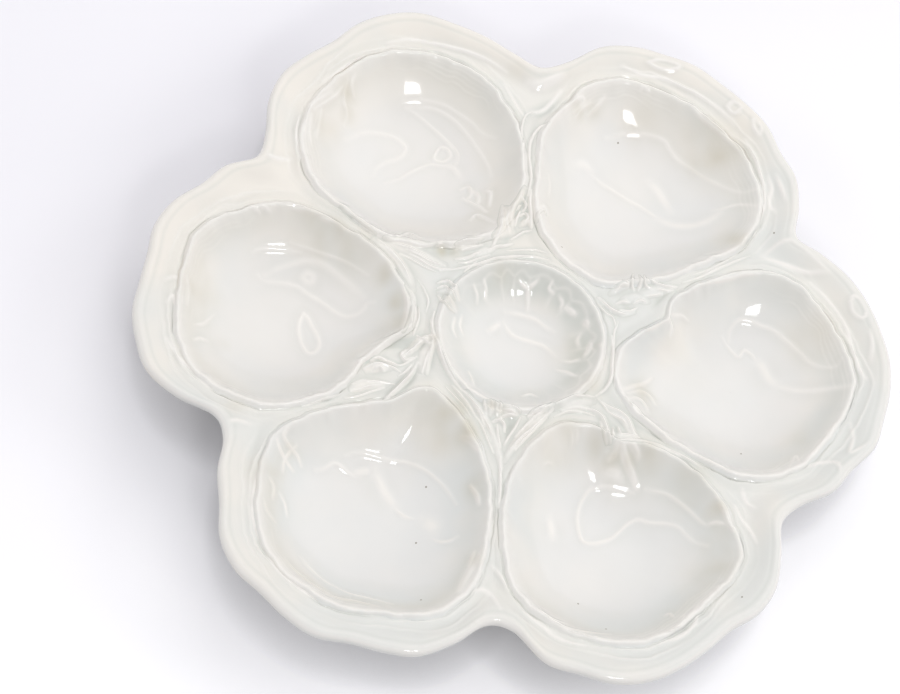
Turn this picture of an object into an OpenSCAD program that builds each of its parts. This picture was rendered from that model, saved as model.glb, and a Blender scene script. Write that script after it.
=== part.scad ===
/* [Oyster shells] */
// Mean radius of a shell's lip
shell_radius = 36.5; // [32:0.5:42]
// Depth of a shell below the crest of its lip
shell_depth = 17; // [13:0.5:20]
// Width of the raised lip of the shells and the cup
lip_width = 2.6; // [2:0.1:3.6]
// Height of the lips above the flat web
lip_rise = 1.8; // [1.4:0.1:3]
// Height of the waves along a shell's lip, up and down from its mean
lip_wave = 0.4; // [0:0.1:0.8]
// Thickness of the bottom of the shells and the cup
bowl_wall = 3.8; // [3:0.1:5]

/* [Tray] */
// Width of the web between two neighbouring shells at its narrowest
web_strip = 1.6; // [1.5:0.1:8]
// Thickness of the web, the flange and the rim
web_wall = 4.5; // [3.5:0.1:6]
// Flange from a shell's lip to the rim's edge, on the middle line of a lobe
flange_width = 13; // [9:0.5:20]
// Width of the belt over which the flange rises to the rim
rim_belt = 11; // [6:0.5:16]
// Rise of the rim above the flat web
rim_rise = 4; // [2:0.5:8]
// Depth of the rim's rounded edge, in from the outline
rim_round = 2.2; // [1:0.1:3]

/* [Sauce cup] */
// Room between the cup's lip and the hinge ends of the shells
cup_gap = 3.4; // [3.2:0.1:8]
// Depth of the cup below its lip
cup_depth = 12; // [8:0.5:15]
// Depth of the flutes in the cup's wall
flute_depth = 1; // [0:0.1:1.5]

/* [Foot ring] */
// Height of the foot ring, from the table to the bottoms of the shells
foot_height = 7; // [4:0.5:12]
// Width of the foot ring at its top
foot_width = 5; // [4:0.5:7]
// Distance of the foot ring's middle line inside the circle of shell centres
foot_inset = 6.5; // [4:0.5:8]
// Rounding of the foot ring's edges on the table
foot_round = 1.2; // [0.5:0.1:1.8]

/* [Sprigs] */
// Reach of a sprig's longest frond
sprig_radius = 6; // [4:0.5:6.5]
// Height of a sprig above the flat web
sprig_height = 2; // [1:0.1:3]
// Web left bare between a sprig and the cup's opening
sprig_gap = 0.8; // [0.4:0.1:1.5]

/* [Fits] */
// Slip joint all round between the tray and what is set in it
seam = 0.2; // [0.1:0.05:0.3]

/* [Hidden] */
LOBES = 6;

// Angles round the plate start on the middle line of lobe 1 and run anticlockwise from above.
lobe_angle = 360 / LOBES;

// Rim: share of the plate's radius every 5 degrees, one row a lobe, from the notch before it.
rim_shares = [
    0.845, 0.86, 0.915, 0.94, 0.98, 0.99, 1.00, 1.00, 0.985, 0.965, 0.935, 0.89,
    0.845, 0.895, 0.94, 0.955, 0.985, 0.995, 1.00, 1.005, 0.99, 0.975, 0.94, 0.865,
    0.83, 0.865, 0.915, 0.96, 1.005, 1.02, 1.015, 0.99, 0.985, 0.975, 0.935, 0.87,
    0.84, 0.89, 0.915, 0.96, 0.98, 0.975, 0.98, 0.99, 0.98, 0.96, 0.90, 0.82,
    0.82, 0.87, 0.91, 0.965, 0.99, 0.99, 1.00, 1.00, 0.97, 0.955, 0.935, 0.88,
    0.815, 0.825, 0.905, 0.94, 0.98, 0.995, 0.99, 0.975, 0.96, 0.965, 0.945, 0.895
];

// Lips: share of the shell's radius every 15 degrees about its own centre, one row a shell,
// from the direction that points away from the middle of the plate. The hinge is near the 13th.
lip_shares = [
    [1.02, 1.00, 0.99, 1.00, 1.05, 1.05, 1.01, 0.92, 0.89, 0.88, 0.80, 0.92,
     1.08, 1.12, 1.06, 0.99, 0.95, 0.96, 1.01, 1.04, 1.03, 1.00, 0.97, 0.99],
    [0.97, 1.00, 1.04, 1.09, 1.09, 1.02, 1.01, 0.97, 0.94, 0.97, 1.04, 1.07,
     1.10, 1.11, 1.03, 0.98, 0.95, 0.97, 1.05, 1.10, 1.10, 1.06, 1.03, 0.98],
    [1.05, 1.04, 1.03, 1.07, 1.07, 1.05, 1.02, 0.95, 0.93, 0.95, 0.95, 0.96,
     1.00, 1.04, 1.02, 0.99, 0.95, 0.94, 0.95, 0.95, 0.99, 1.01, 1.02, 1.04],
    [0.93, 0.95, 0.99, 1.03, 1.02, 1.01, 0.99, 0.95, 0.93, 0.89, 0.85, 0.93,
     1.12, 1.08, 1.03, 0.98, 0.95, 0.96, 0.99, 1.00, 1.00, 1.02, 1.01, 0.95],
    [1.03, 1.03, 1.01, 1.04, 1.10, 1.10, 1.05, 0.98, 0.95, 0.97, 0.99, 1.05,
     1.12, 1.18, 0.96, 0.93, 0.95, 0.98, 1.06, 1.05, 1.03, 1.04, 1.06, 1.05],
    [0.99, 0.97, 0.98, 1.05, 1.12, 1.05, 1.01, 0.98, 0.95, 0.93, 0.89, 1.05,
     1.10, 1.07, 1.02, 0.98, 0.95, 0.95, 0.99, 1.01, 0.99, 0.98, 0.98, 0.99]
];
// Widest share of the shell's radius towards a neighbour, and towards the cup
neighbour_share = 0.95;
hinge_share = 1.12;
// The cup stands off the plate's middle by this share of its radius, in this direction
cup_shift_share = 0.1;
cup_shift_angle = 31;
// Flat bottom of a bowl, as a share of its radius
base_share = 0.36;
// Rings of a bowl's outside and inside, as shares of its radius
outside_shares = [0.2, base_share, 0.5, 0.64, 0.77, 0.88, 0.96, 1];
inside_shares = [0.95, 0.88, 0.78, 0.65, 0.5, 0.34, 0.18];
flutes = 12;
// Waves along a lip, and how far each shell's waves are turned from the last one's
lip_waves = 7;
wave_turn = 50;

// Sprig: its fronds, how deep the notches between them are, and each ring's reach and height
fronds = 5;
frond_notch_share = 0.42;
sprig_ring_shares = [[1, 0], [0.96, 0.4], [0.72, 0.85], [0.38, 1]];
sprig_middle_share = 0.8;
// Angle of each sprig from the line through its notch, towards the shell whose lip draws back there
sprig_turns = [-6, 1, -4, -7, -1, -3];

// Plan, worked out from the shells outwards and inwards
lip_half = lip_width / 2;
opening_margin = lip_half + seam;
ring_radius = 2 * (shell_radius * neighbour_share + opening_margin) + web_strip;
plate_radius = ring_radius + shell_radius + flange_width;
cup_radius = ring_radius - shell_radius * hinge_share - 2 * opening_margin - cup_gap;
cup_shift = cup_radius * cup_shift_share;
cup_opening = cup_radius + opening_margin;
foot_radius = ring_radius - foot_inset;

// Heights above the table
lip_top = foot_height + bowl_wall + shell_depth;
web_top = lip_top - lip_rise;
web_bottom = web_top - web_wall;
rim_top = web_top + rim_rise;
rim_middle = rim_top - web_wall / 2;

// Counts of the meshes
around = 48;
rim_steps = 24;
side_steps = 8;
cup_steps = 8;
cell_steps = rim_steps + 2 * side_steps + cup_steps;
web_steps = 5;
edge_angles = [-45, 0, 45];
sprig_steps = 30;
round_steps = 96;

function wrap(i, n) = ((i % n) + n) % n;
function ease(t) = let(c = min(1, max(0, t))) c * c * (3 - 2 * c);
function lerp(a, b, t) = a * (1 - t) + b * t;

// Smooth closed curve through evenly spaced shares: a cubic between each two of them
function smooth_share(shares, turn) =
    let(
        n = len(shares),
        at = turn * n,
        i = floor(at),
        t = at - i,
        before = shares[wrap(i - 1, n)],
        here = shares[wrap(i, n)],
        next = shares[wrap(i + 1, n)],
        after = shares[wrap(i + 2, n)],
        slope = (next - before) / 2,
        bend = before - 2.5 * here + 2 * next - after / 2,
        twist = (after - before) / 2 + 1.5 * (here - next)
    )
    here + t * (slope + t * (bend + t * twist));

function rim_radius(angle) = plate_radius * smooth_share(rim_shares, (angle + lobe_angle / 2) / 360);
function lip_radius(i, angle) = shell_radius * smooth_share(lip_shares[i], (angle - i * lobe_angle) / 360);
function lip_height(i, angle) = lip_top + lip_wave * sin(lip_waves * angle + wave_turn * i);
function polar(radius, angle) = [radius * cos(angle), radius * sin(angle)];
function shell_centre(i) = polar(ring_radius, i * lobe_angle);

// The cup's opening as a distance from the plate's middle
function cup_edge(angle) =
    let(off = angle - cup_shift_angle)
    cup_shift * cos(off) + sqrt(pow(cup_opening, 2) - pow(cup_shift * sin(off), 2));

// The plate's outline isn't quite even, so it is centred on its own box
rim_outline = [for (k = [0:LOBES * rim_steps - 1])
    let(a = k * lobe_angle / rim_steps)
    polar(rim_radius(a), a)];
outline_x = [for (p = rim_outline) p[0]];
outline_y = [for (p = rim_outline) p[1]];
plate_shift = -[max(outline_x) + min(outline_x), max(outline_y) + min(outline_y), 0] / 2;

// Closed skin over rings of points, from a point below the first to a point past the last
module skin(rings, first, last) {
    n = len(rings[0]);
    m = len(rings);
    points = concat([first], [for (ring = rings) each ring], [last]);
    function at(k, j) = 1 + k * n + wrap(j, n);
    faces = [
        for (j = [0:n - 1]) [0, at(0, j), at(0, j + 1)],
        for (k = [0:m - 2], j = [0:n - 1]) each [
            [at(k, j), at(k + 1, j), at(k + 1, j + 1)],
            [at(k, j), at(k + 1, j + 1), at(k, j + 1)]
        ],
        for (j = [0:n - 1]) [at(m - 1, j), m * n + 1, at(m - 1, j + 1)]
    ];
    polyhedron(points, faces, convexity = 6);
}

// How far a bowl has dropped at a share of its radius: steep at the lip, flat in the middle
function bowl_drop(share) = pow(1 - pow(share, 3), 0.8);
// Rise of a bowl's outside from its flat bottom
function bowl_rise(share) = max(0, 1 - bowl_drop(share) / bowl_drop(base_share));

// Tray

// Height of the tray's top: flat web, rising to the rim in a belt along the outline
function web_height(p) =
    let(in = rim_radius(atan2(p[1], p[0])) - rim_round - norm(p))
    web_top + rim_rise * ease(1 - in / rim_belt);

// A point on the line from a notch of the rim to the cup's opening
function side_point(k, t) =
    let(a = wrap(k, LOBES) * lobe_angle + lobe_angle / 2)
    polar(lerp(rim_radius(a) - rim_round, cup_edge(a), t), a);

// The border of lobe i, anticlockwise: rim, side, cup opening, side
function cell_point(i, j) =
    let(start = (i - 0.5) * lobe_angle, side_end = rim_steps + side_steps, cup_end = side_end + cup_steps)
    j == 0 ? side_point(i - 1, 0) :
    j < rim_steps ?
        let(a = start + lobe_angle * j / rim_steps) polar(rim_radius(a) - rim_round, a) :
    j <= side_end ? side_point(i, (j - rim_steps) / side_steps) :
    j < cup_end ?
        let(a = start + lobe_angle * (cup_end - j) / cup_steps) polar(cup_edge(a), a) :
    side_point(i - 1, 1 - (j - cup_end) / side_steps);

// The opening for shell i, met by the line from its centre to a border point
function opening_point(i, border) =
    let(
        centre = shell_centre(i),
        away = border - centre,
        a = atan2(away[1], away[0])
    )
    centre + polar(lip_radius(i, a) + opening_margin, a);

module tray() {
    levels = web_steps + 1;
    edges = len(edge_angles);
    function web_point(i, j, side, s) =
        let(
            border = cell_point(i, j),
            flat = s == web_steps ? border : lerp(opening_point(i, border), border, s / web_steps),
            top = web_height(flat)
        )
        [flat[0], flat[1], top - side * web_wall];
    function edge_point(i, j, e) =
        let(
            border = j == rim_steps ? cell_point(i + 1, 0) : cell_point(i, j),
            flat = border + border / norm(border) * rim_round * cos(edge_angles[e])
        )
        [flat[0], flat[1], rim_middle + web_wall / 2 * sin(edge_angles[e])];
    points = concat(
        [for (i = [0:LOBES - 1], j = [0:cell_steps - 1], side = [0, 1], s = [0:web_steps])
            web_point(i, j, side, s)],
        [for (i = [0:LOBES - 1], j = [0:rim_steps], e = [0:edges - 1]) edge_point(i, j, e)]
    );
    edge_start = LOBES * cell_steps * 2 * levels;
    function at(i, j, side, s) = ((i * cell_steps + wrap(j, cell_steps)) * 2 + side) * levels + s;
    // Up the outer edge of a column: the underside, the rounding, the top
    function rim_at(i, j, e) =
        e == 0 ? at(i, j, 1, web_steps) :
        e == edges + 1 ? at(i, j, 0, web_steps) :
        edge_start + (i * (rim_steps + 1) + j) * edges + e - 1;
    function quad(a, b, c, d) = [[a, b, c], [a, c, d]];
    faces = [
        for (i = [0:LOBES - 1], j = [0:cell_steps - 1], s = [0:web_steps - 1]) each concat(
            quad(at(i, j, 0, s), at(i, j + 1, 0, s), at(i, j + 1, 0, s + 1), at(i, j, 0, s + 1)),
            quad(at(i, j, 1, s), at(i, j, 1, s + 1), at(i, j + 1, 1, s + 1), at(i, j + 1, 1, s))
        ),
        for (i = [0:LOBES - 1], j = [0:cell_steps - 1]) each
            quad(at(i, j + 1, 1, 0), at(i, j + 1, 0, 0), at(i, j, 0, 0), at(i, j, 1, 0)),
        for (i = [0:LOBES - 1], j = [0:cup_steps - 1]) let(k = rim_steps + side_steps + j) each
            quad(at(i, k, 1, web_steps), at(i, k, 0, web_steps),
                 at(i, k + 1, 0, web_steps), at(i, k + 1, 1, web_steps)),
        for (i = [0:LOBES - 1], j = [0:rim_steps - 1], e = [0:edges]) each
            quad(rim_at(i, j, e), rim_at(i, j, e + 1), rim_at(i, j + 1, e + 1), rim_at(i, j + 1, e))
    ];
    color("whitesmoke") translate(plate_shift) polyhedron(points, faces, convexity = 10);
}

// Oyster shells

module oyster_shell(i) {
    centre = shell_centre(i);
    angles = [for (j = [0:around - 1]) j * 360 / around];
    // Near its middle a bowl is round, and towards its lip it takes the lip's outline
    function reach(a, share) = share * lerp(shell_radius, lip_radius(i, a), share);
    function place(radius, a, z) = let(p = centre + polar(radius, a)) [p[0], p[1], z];
    outside = [for (share = outside_shares) [for (a = angles)
        place(reach(a, share) + lip_half * share, a, lerp(foot_height, web_bottom, bowl_rise(share)))]];
    lip = [for (tilt = [0, 45, 90, 135]) [for (a = angles)
        place(lip_radius(i, a) + lip_half * cos(tilt), a, lip_height(i, a) - lip_half * (1 - sin(tilt)))]];
    inside = [for (share = inside_shares) [for (a = angles)
        place(reach(a, share), a, lip_height(i, a) - (lip_height(i, a) - lip_top + shell_depth) * bowl_drop(share))]];
    color("ghostwhite") translate(plate_shift)
        skin(
            concat(outside, lip, inside),
            [centre[0], centre[1], foot_height],
            [centre[0], centre[1], lip_top - shell_depth]
        );
}

// Sauce cup

module sauce_cup() {
    centre = polar(cup_shift, cup_shift_angle);
    bottom = lip_top - cup_depth;
    angles = [for (j = [0:around - 1]) j * 360 / around];
    function place(radius, a, z) = let(p = centre + polar(radius, a)) [p[0], p[1], z];
    // The flutes fade out at the lip and at the cup's flat bottom
    function flute(a, share) = flute_depth * sin(180 * share) * (1 + cos(flutes * a)) / 2;
    outside = [for (share = outside_shares) [for (a = angles)
        place((cup_radius + lip_half) * share, a, lerp(bottom - bowl_wall, web_bottom, bowl_rise(share)))]];
    lip = [for (tilt = [0, 45, 90, 135]) [for (a = angles)
        place(cup_radius + lip_half * cos(tilt), a, lip_top - lip_half * (1 - sin(tilt)))]];
    inside = [for (share = inside_shares) [for (a = angles)
        place(cup_radius * share - flute(a, share), a, lip_top - cup_depth * bowl_drop(share))]];
    color("mintcream") translate(plate_shift)
        skin(
            concat(outside, lip, inside),
            [centre[0], centre[1], bottom - bowl_wall],
            [centre[0], centre[1], bottom]
        );
}

// Foot ring

module foot_ring() {
    inner = foot_radius - foot_width / 2;
    outer = foot_radius + foot_width / 2;
    color("ivory") translate(plate_shift)
        rotate_extrude($fn = round_steps)
            polygon([
                [inner, foot_height],
                [inner, foot_round],
                [inner + foot_round, 0],
                [outer - foot_round, 0],
                [outer, foot_round],
                [outer, foot_height]
            ]);
}

// Sprigs

module sprig(i) {
    a = (i + 0.5) * lobe_angle + sprig_turns[i];
    centre = polar(cup_edge(a) + sprig_gap + sprig_radius, a);
    angles = [for (j = [0:sprig_steps - 1]) j * 360 / sprig_steps];
    function reach(t) = sprig_radius * (1 - frond_notch_share * (1 - abs(cos(fronds / 2 * t))));
    function place(radius, t, z) = let(p = centre + polar(radius, t + a)) [p[0], p[1], z];
    rings = [for (ring = sprig_ring_shares) [for (t = angles)
        place(reach(t) * ring[0], t, web_top + sprig_height * ring[1])]];
    color("linen") translate(plate_shift)
        skin(
            rings,
            [centre[0], centre[1], web_top],
            [centre[0], centre[1], web_top + sprig_height * sprig_middle_share]
        );
}

tray();
foot_ring();
sauce_cup();
for (i = [1:LOBES]) oyster_shell(i - 1);
for (i = [1:LOBES]) sprig(i - 1);
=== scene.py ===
import math

import bpy
import numpy as np
from mathutils import Matrix, Vector


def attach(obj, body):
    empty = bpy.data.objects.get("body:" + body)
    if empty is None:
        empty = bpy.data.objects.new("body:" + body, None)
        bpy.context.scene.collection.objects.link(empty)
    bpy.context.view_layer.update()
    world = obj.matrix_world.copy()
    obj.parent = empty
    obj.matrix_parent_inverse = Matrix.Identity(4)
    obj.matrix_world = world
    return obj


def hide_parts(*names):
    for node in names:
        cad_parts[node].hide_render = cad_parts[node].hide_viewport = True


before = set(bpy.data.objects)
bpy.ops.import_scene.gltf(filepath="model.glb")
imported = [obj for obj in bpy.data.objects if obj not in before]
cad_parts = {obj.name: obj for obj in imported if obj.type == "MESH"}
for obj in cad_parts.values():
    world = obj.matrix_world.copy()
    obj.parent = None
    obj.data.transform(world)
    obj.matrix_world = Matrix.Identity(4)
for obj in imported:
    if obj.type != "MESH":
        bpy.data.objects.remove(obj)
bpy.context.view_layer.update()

# Sizes in millimetres, the same as the solids have
MM = 0.001
SHELL_RADIUS = 36.5
SHELL_DEPTH = 17.0
LIP_WIDTH = 2.6
LIP_RISE = 1.8
LIP_WAVE = 0.4
BOWL_WALL = 3.8
WEB_STRIP = 1.6
WEB_WALL = 4.5
FLANGE_WIDTH = 13.0
RIM_BELT = 11.0
NOTCH_ANGLE = 90
RIM_RISE = 4.0
RIM_ROUND = 2.2
CUP_GAP = 3.4
CUP_DEPTH = 12.0
FLUTE_DEPTH = 1.0
FOOT_HEIGHT = 7.0
FOOT_WIDTH = 5.0
FOOT_INSET = 6.5
FOOT_ROUND = 1.2
SEAM = 0.2

LOBES = 6
CUP = LOBES
LOBE_ANGLE = 360 / LOBES
NEIGHBOUR_SHARE = 0.95
HINGE_SHARE = 1.12
CUP_SHIFT_SHARE = 0.1
CUP_SHIFT_ANGLE = 31
BASE_SHARE = 0.36
FLUTES = 20
PETAL_SIDE = 50
SHADE_SIDE = 10
LIP_WAVES = 7
WAVE_TURN = 50

# Share of the plate's radius every 5 degrees, one row a lobe, from the notch before it
RIM_SHARES = np.array([
    0.845, 0.86, 0.915, 0.94, 0.98, 0.99, 1.00, 1.00, 0.985, 0.965, 0.935, 0.89,
    0.845, 0.895, 0.94, 0.955, 0.985, 0.995, 1.00, 1.005, 0.99, 0.975, 0.94, 0.865,
    0.83, 0.865, 0.915, 0.96, 1.005, 1.02, 1.015, 0.99, 0.985, 0.975, 0.935, 0.87,
    0.84, 0.89, 0.915, 0.96, 0.98, 0.975, 0.98, 0.99, 0.98, 0.96, 0.90, 0.82,
    0.82, 0.87, 0.91, 0.965, 0.99, 0.99, 1.00, 1.00, 0.97, 0.955, 0.935, 0.88,
    0.815, 0.825, 0.905, 0.94, 0.98, 0.995, 0.99, 0.975, 0.96, 0.965, 0.945, 0.895,
])

# Share of the shell's radius every 15 degrees about its own centre, from the direction
# that points away from the middle of the plate
LIP_SHARES = np.array([
    [1.02, 1.00, 0.99, 1.00, 1.05, 1.05, 1.01, 0.92, 0.89, 0.88, 0.80, 0.92,
     1.08, 1.12, 1.06, 0.99, 0.95, 0.96, 1.01, 1.04, 1.03, 1.00, 0.97, 0.99],
    [0.97, 1.00, 1.04, 1.09, 1.09, 1.02, 1.01, 0.97, 0.94, 0.97, 1.04, 1.07,
     1.10, 1.11, 1.03, 0.98, 0.95, 0.97, 1.05, 1.10, 1.10, 1.06, 1.03, 0.98],
    [1.05, 1.04, 1.03, 1.07, 1.07, 1.05, 1.02, 0.95, 0.93, 0.95, 0.95, 0.96,
     1.00, 1.04, 1.02, 0.99, 0.95, 0.94, 0.95, 0.95, 0.99, 1.01, 1.02, 1.04],
    [0.93, 0.95, 0.99, 1.03, 1.02, 1.01, 0.99, 0.95, 0.93, 0.89, 0.85, 0.93,
     1.12, 1.08, 1.03, 0.98, 0.95, 0.96, 0.99, 1.00, 1.00, 1.02, 1.01, 0.95],
    [1.03, 1.03, 1.01, 1.04, 1.10, 1.10, 1.05, 0.98, 0.95, 0.97, 0.99, 1.05,
     1.12, 1.18, 0.96, 0.93, 0.95, 0.98, 1.06, 1.05, 1.03, 1.04, 1.06, 1.05],
    [0.99, 0.97, 0.98, 1.05, 1.12, 1.05, 1.01, 0.98, 0.95, 0.93, 0.89, 1.05,
     1.10, 1.07, 1.02, 0.98, 0.95, 0.95, 0.99, 1.01, 0.99, 0.98, 0.98, 0.99],
])

# Plan and heights, worked out as the solids work them out
LIP_HALF = LIP_WIDTH / 2
OPENING_MARGIN = LIP_HALF + SEAM
RING_RADIUS = 2 * (SHELL_RADIUS * NEIGHBOUR_SHARE + OPENING_MARGIN) + WEB_STRIP
PLATE_RADIUS = RING_RADIUS + SHELL_RADIUS + FLANGE_WIDTH
CUP_RADIUS = RING_RADIUS - SHELL_RADIUS * HINGE_SHARE - 2 * OPENING_MARGIN - CUP_GAP
CUP_SHIFT = CUP_RADIUS * CUP_SHIFT_SHARE
CUP_OPENING = CUP_RADIUS + OPENING_MARGIN
FOOT_RADIUS = RING_RADIUS - FOOT_INSET
LIP_TOP = FOOT_HEIGHT + BOWL_WALL + SHELL_DEPTH
WEB_TOP = LIP_TOP - LIP_RISE
WEB_BOTTOM = WEB_TOP - WEB_WALL
RIM_TOP = WEB_TOP + RIM_RISE
BASES = [SHELL_RADIUS] * LOBES + [CUP_RADIUS]
DEPTHS = [SHELL_DEPTH] * LOBES + [CUP_DEPTH]

# The photograph's frame and the camera, which were found from points read off the rim
FRAME_WIDTH = 900
FRAME_HEIGHT = 694
FOCAL_PIXELS = 3200
SENSOR_MM = 36
CAMERA_ELEVATION = 62.0
CAMERA_AZIMUTH = -9.0
CAMERA_ROLL = 16.3
CAMERA_DISTANCE = 1020.0
CAMERA_TARGET = np.array([-20.145, -7.089, LIP_TOP])

# Finer relief in millimetres, and shares and counts that go with it
GLAZE_INSET = 0.1
NICK = 0.26
CALM_REACH = 5.0
FRILL = 0.22
CREST_ROUND = 0.9
GLAZED_POWER = 1.1
OUTER_FALL = 1.9
OUTER_ROUND = 1.2
WEB_LIFT = 0.85
SKIRT = 1.6
CREASE_DEPTH = 0.42
CREASE_PLACE = 1.5
CREASE_WIDTH = 0.38
CONTOUR_RISE = 0.34
CONTOUR_PLACES = (2.5, 5.2)
CONTOUR_WIDTH = 0.5
LAMELLA_RISE = 0.09
LAMELLA_WIDTH = 0.3
LAMELLA_PLACES = (1.5, 2.4, 3.4, 4.6)
FLOOR_RIPPLE = 0.12
FLANGE_RIPPLE = 0.25
RIM_GROOVE = 0.14
GROOVE_PLACE = 1.8
BROAD_GAIN = 1.3
FINE_GAIN = 1.45
SPRIG_SINK = 0.1
SPRIG_ROOT = 1.2
RIM_LINE = 0.8
FINE_WIDTH = 0.6
TUFT_HALO = 2.6
FOLD_GAIN = 1.4
FLANGE_FOLD_GAIN = 1.5
BELL_REACH = 2.6
SEAT_LEVELS = 240
STAIN_AND_SHADE_SHARE = 0.8
STAIN_AND_SHADE_SPREAD = 1.25
TAN_SHARES = (0.06, 0.06, 0.1, 0.14, 0.22, 0.14)
BOWL_POWER = 0.8
NOTCH_NARROWING = 0.3
NOTCH_SPAN = 8
LIFT_START = 1
LIFT_SPAN = 5
CUP_CONTOURS = 0.45
GROOVE_WIDTH = 0.7
FLANGE_WAVE = 22.0
FLANGE_SEED = 7
FLOOR_WAVE = 17.0
FLOOR_SEED = 20
FLOOR_START = 8
FLOOR_SPAN = 9
SPRIG_RIPPLE = 0.12
SPRIG_WAVE = 3.0
SPRIG_SEED = 3
STAIN_AND_SHADE_WAVE = 9.0
STAIN_AND_SHADE_SEED = 11
CROWDING = 1.3
BOWL_CROWDING = 1.25
LIP_ROWS = 13

# The cup's petals and arcs, as shares of its radius and of the depth of its flutes
PETAL_START = 0.58
PETAL_END = 0.9
PETAL_WIDTH = 0.42
PETAL_SHARE = 0.13
ARC_PLACE = 0.84
ARC_SWAY = 0.07
ARC_WIDTH = 0.022
ARC_SHARE = 0.12

# Weights of the thin glaze and painted highlights over crests, and how far they reach in millimetres, or in
# radians on the rim
OUTSIDE_THIN = 0.85
OUTSIDE_REACH = 0.8
EDGE_THIN = 0.35
EDGE_REACH = 0.9
INSIDE_HIGHLIGHT = 0.85
INSIDE_REACH = 3.6
FOLD_THIN_AND_HIGHLIGHT = 3.0
RIDGE_THIN = 0.3
PETAL_THIN = 0.35
FLANGE_FOLD_THIN_AND_HIGHLIGHT = 2.4
CONTOUR_THIN = 0.5
RIM_HIGHLIGHT = 0.95
RIM_LINE_WIDTH = 0.4
RIM_EDGE_THIN_AND_HIGHLIGHT = 0.3
RIM_EDGE_REACH = 0.8
BROAD_THIN = 0.5
FINE_THIN_AND_HIGHLIGHT = 2.2

# Weights of the pooled glaze and of painted shade in creases, hollows, undersides and on shaded walls, its
# least and most, and the spreads of a stroke between which it pools and shade is painted
FOLD_POOL_AND_SHADE = 0.9
FOLD_SPREADS = (3.2, 1.5)
FLANGE_FOLD_POOL_AND_SHADE = 1.2
FLANGE_FOLD_SPREADS = (2.6, 1.4)
DENT_POOL_AND_SHADE = 1.2
JUNCTION_POOL_AND_SHADE = 0.4
JUNCTION_REACH = 22
GROOVE_POOL_AND_SHADE = 0.3
WEB_POOL = 0.2
TUFT_POOL_AND_SHADE = 1.8
TUFT_POOL_AND_SHADE_MOST = 0.9
CREASE_POOL_AND_SHADE = (0.12, 0.4)
LIP_POOL_AND_SHADE = (0.1, 0.3)
CUP_SHADE = 0.8
HOLLOW_POOL_AND_SHADE = 0.8
NEAR_SHADE = 0.08
FAR_SHADE = 0.2
WELL_UNDER_SHADE = 0.3
TRAY_UNDER_SHADE = 0.25
RIM_EDGE_SHADE = 0.12
FOOT_POOL = 0.2

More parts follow.
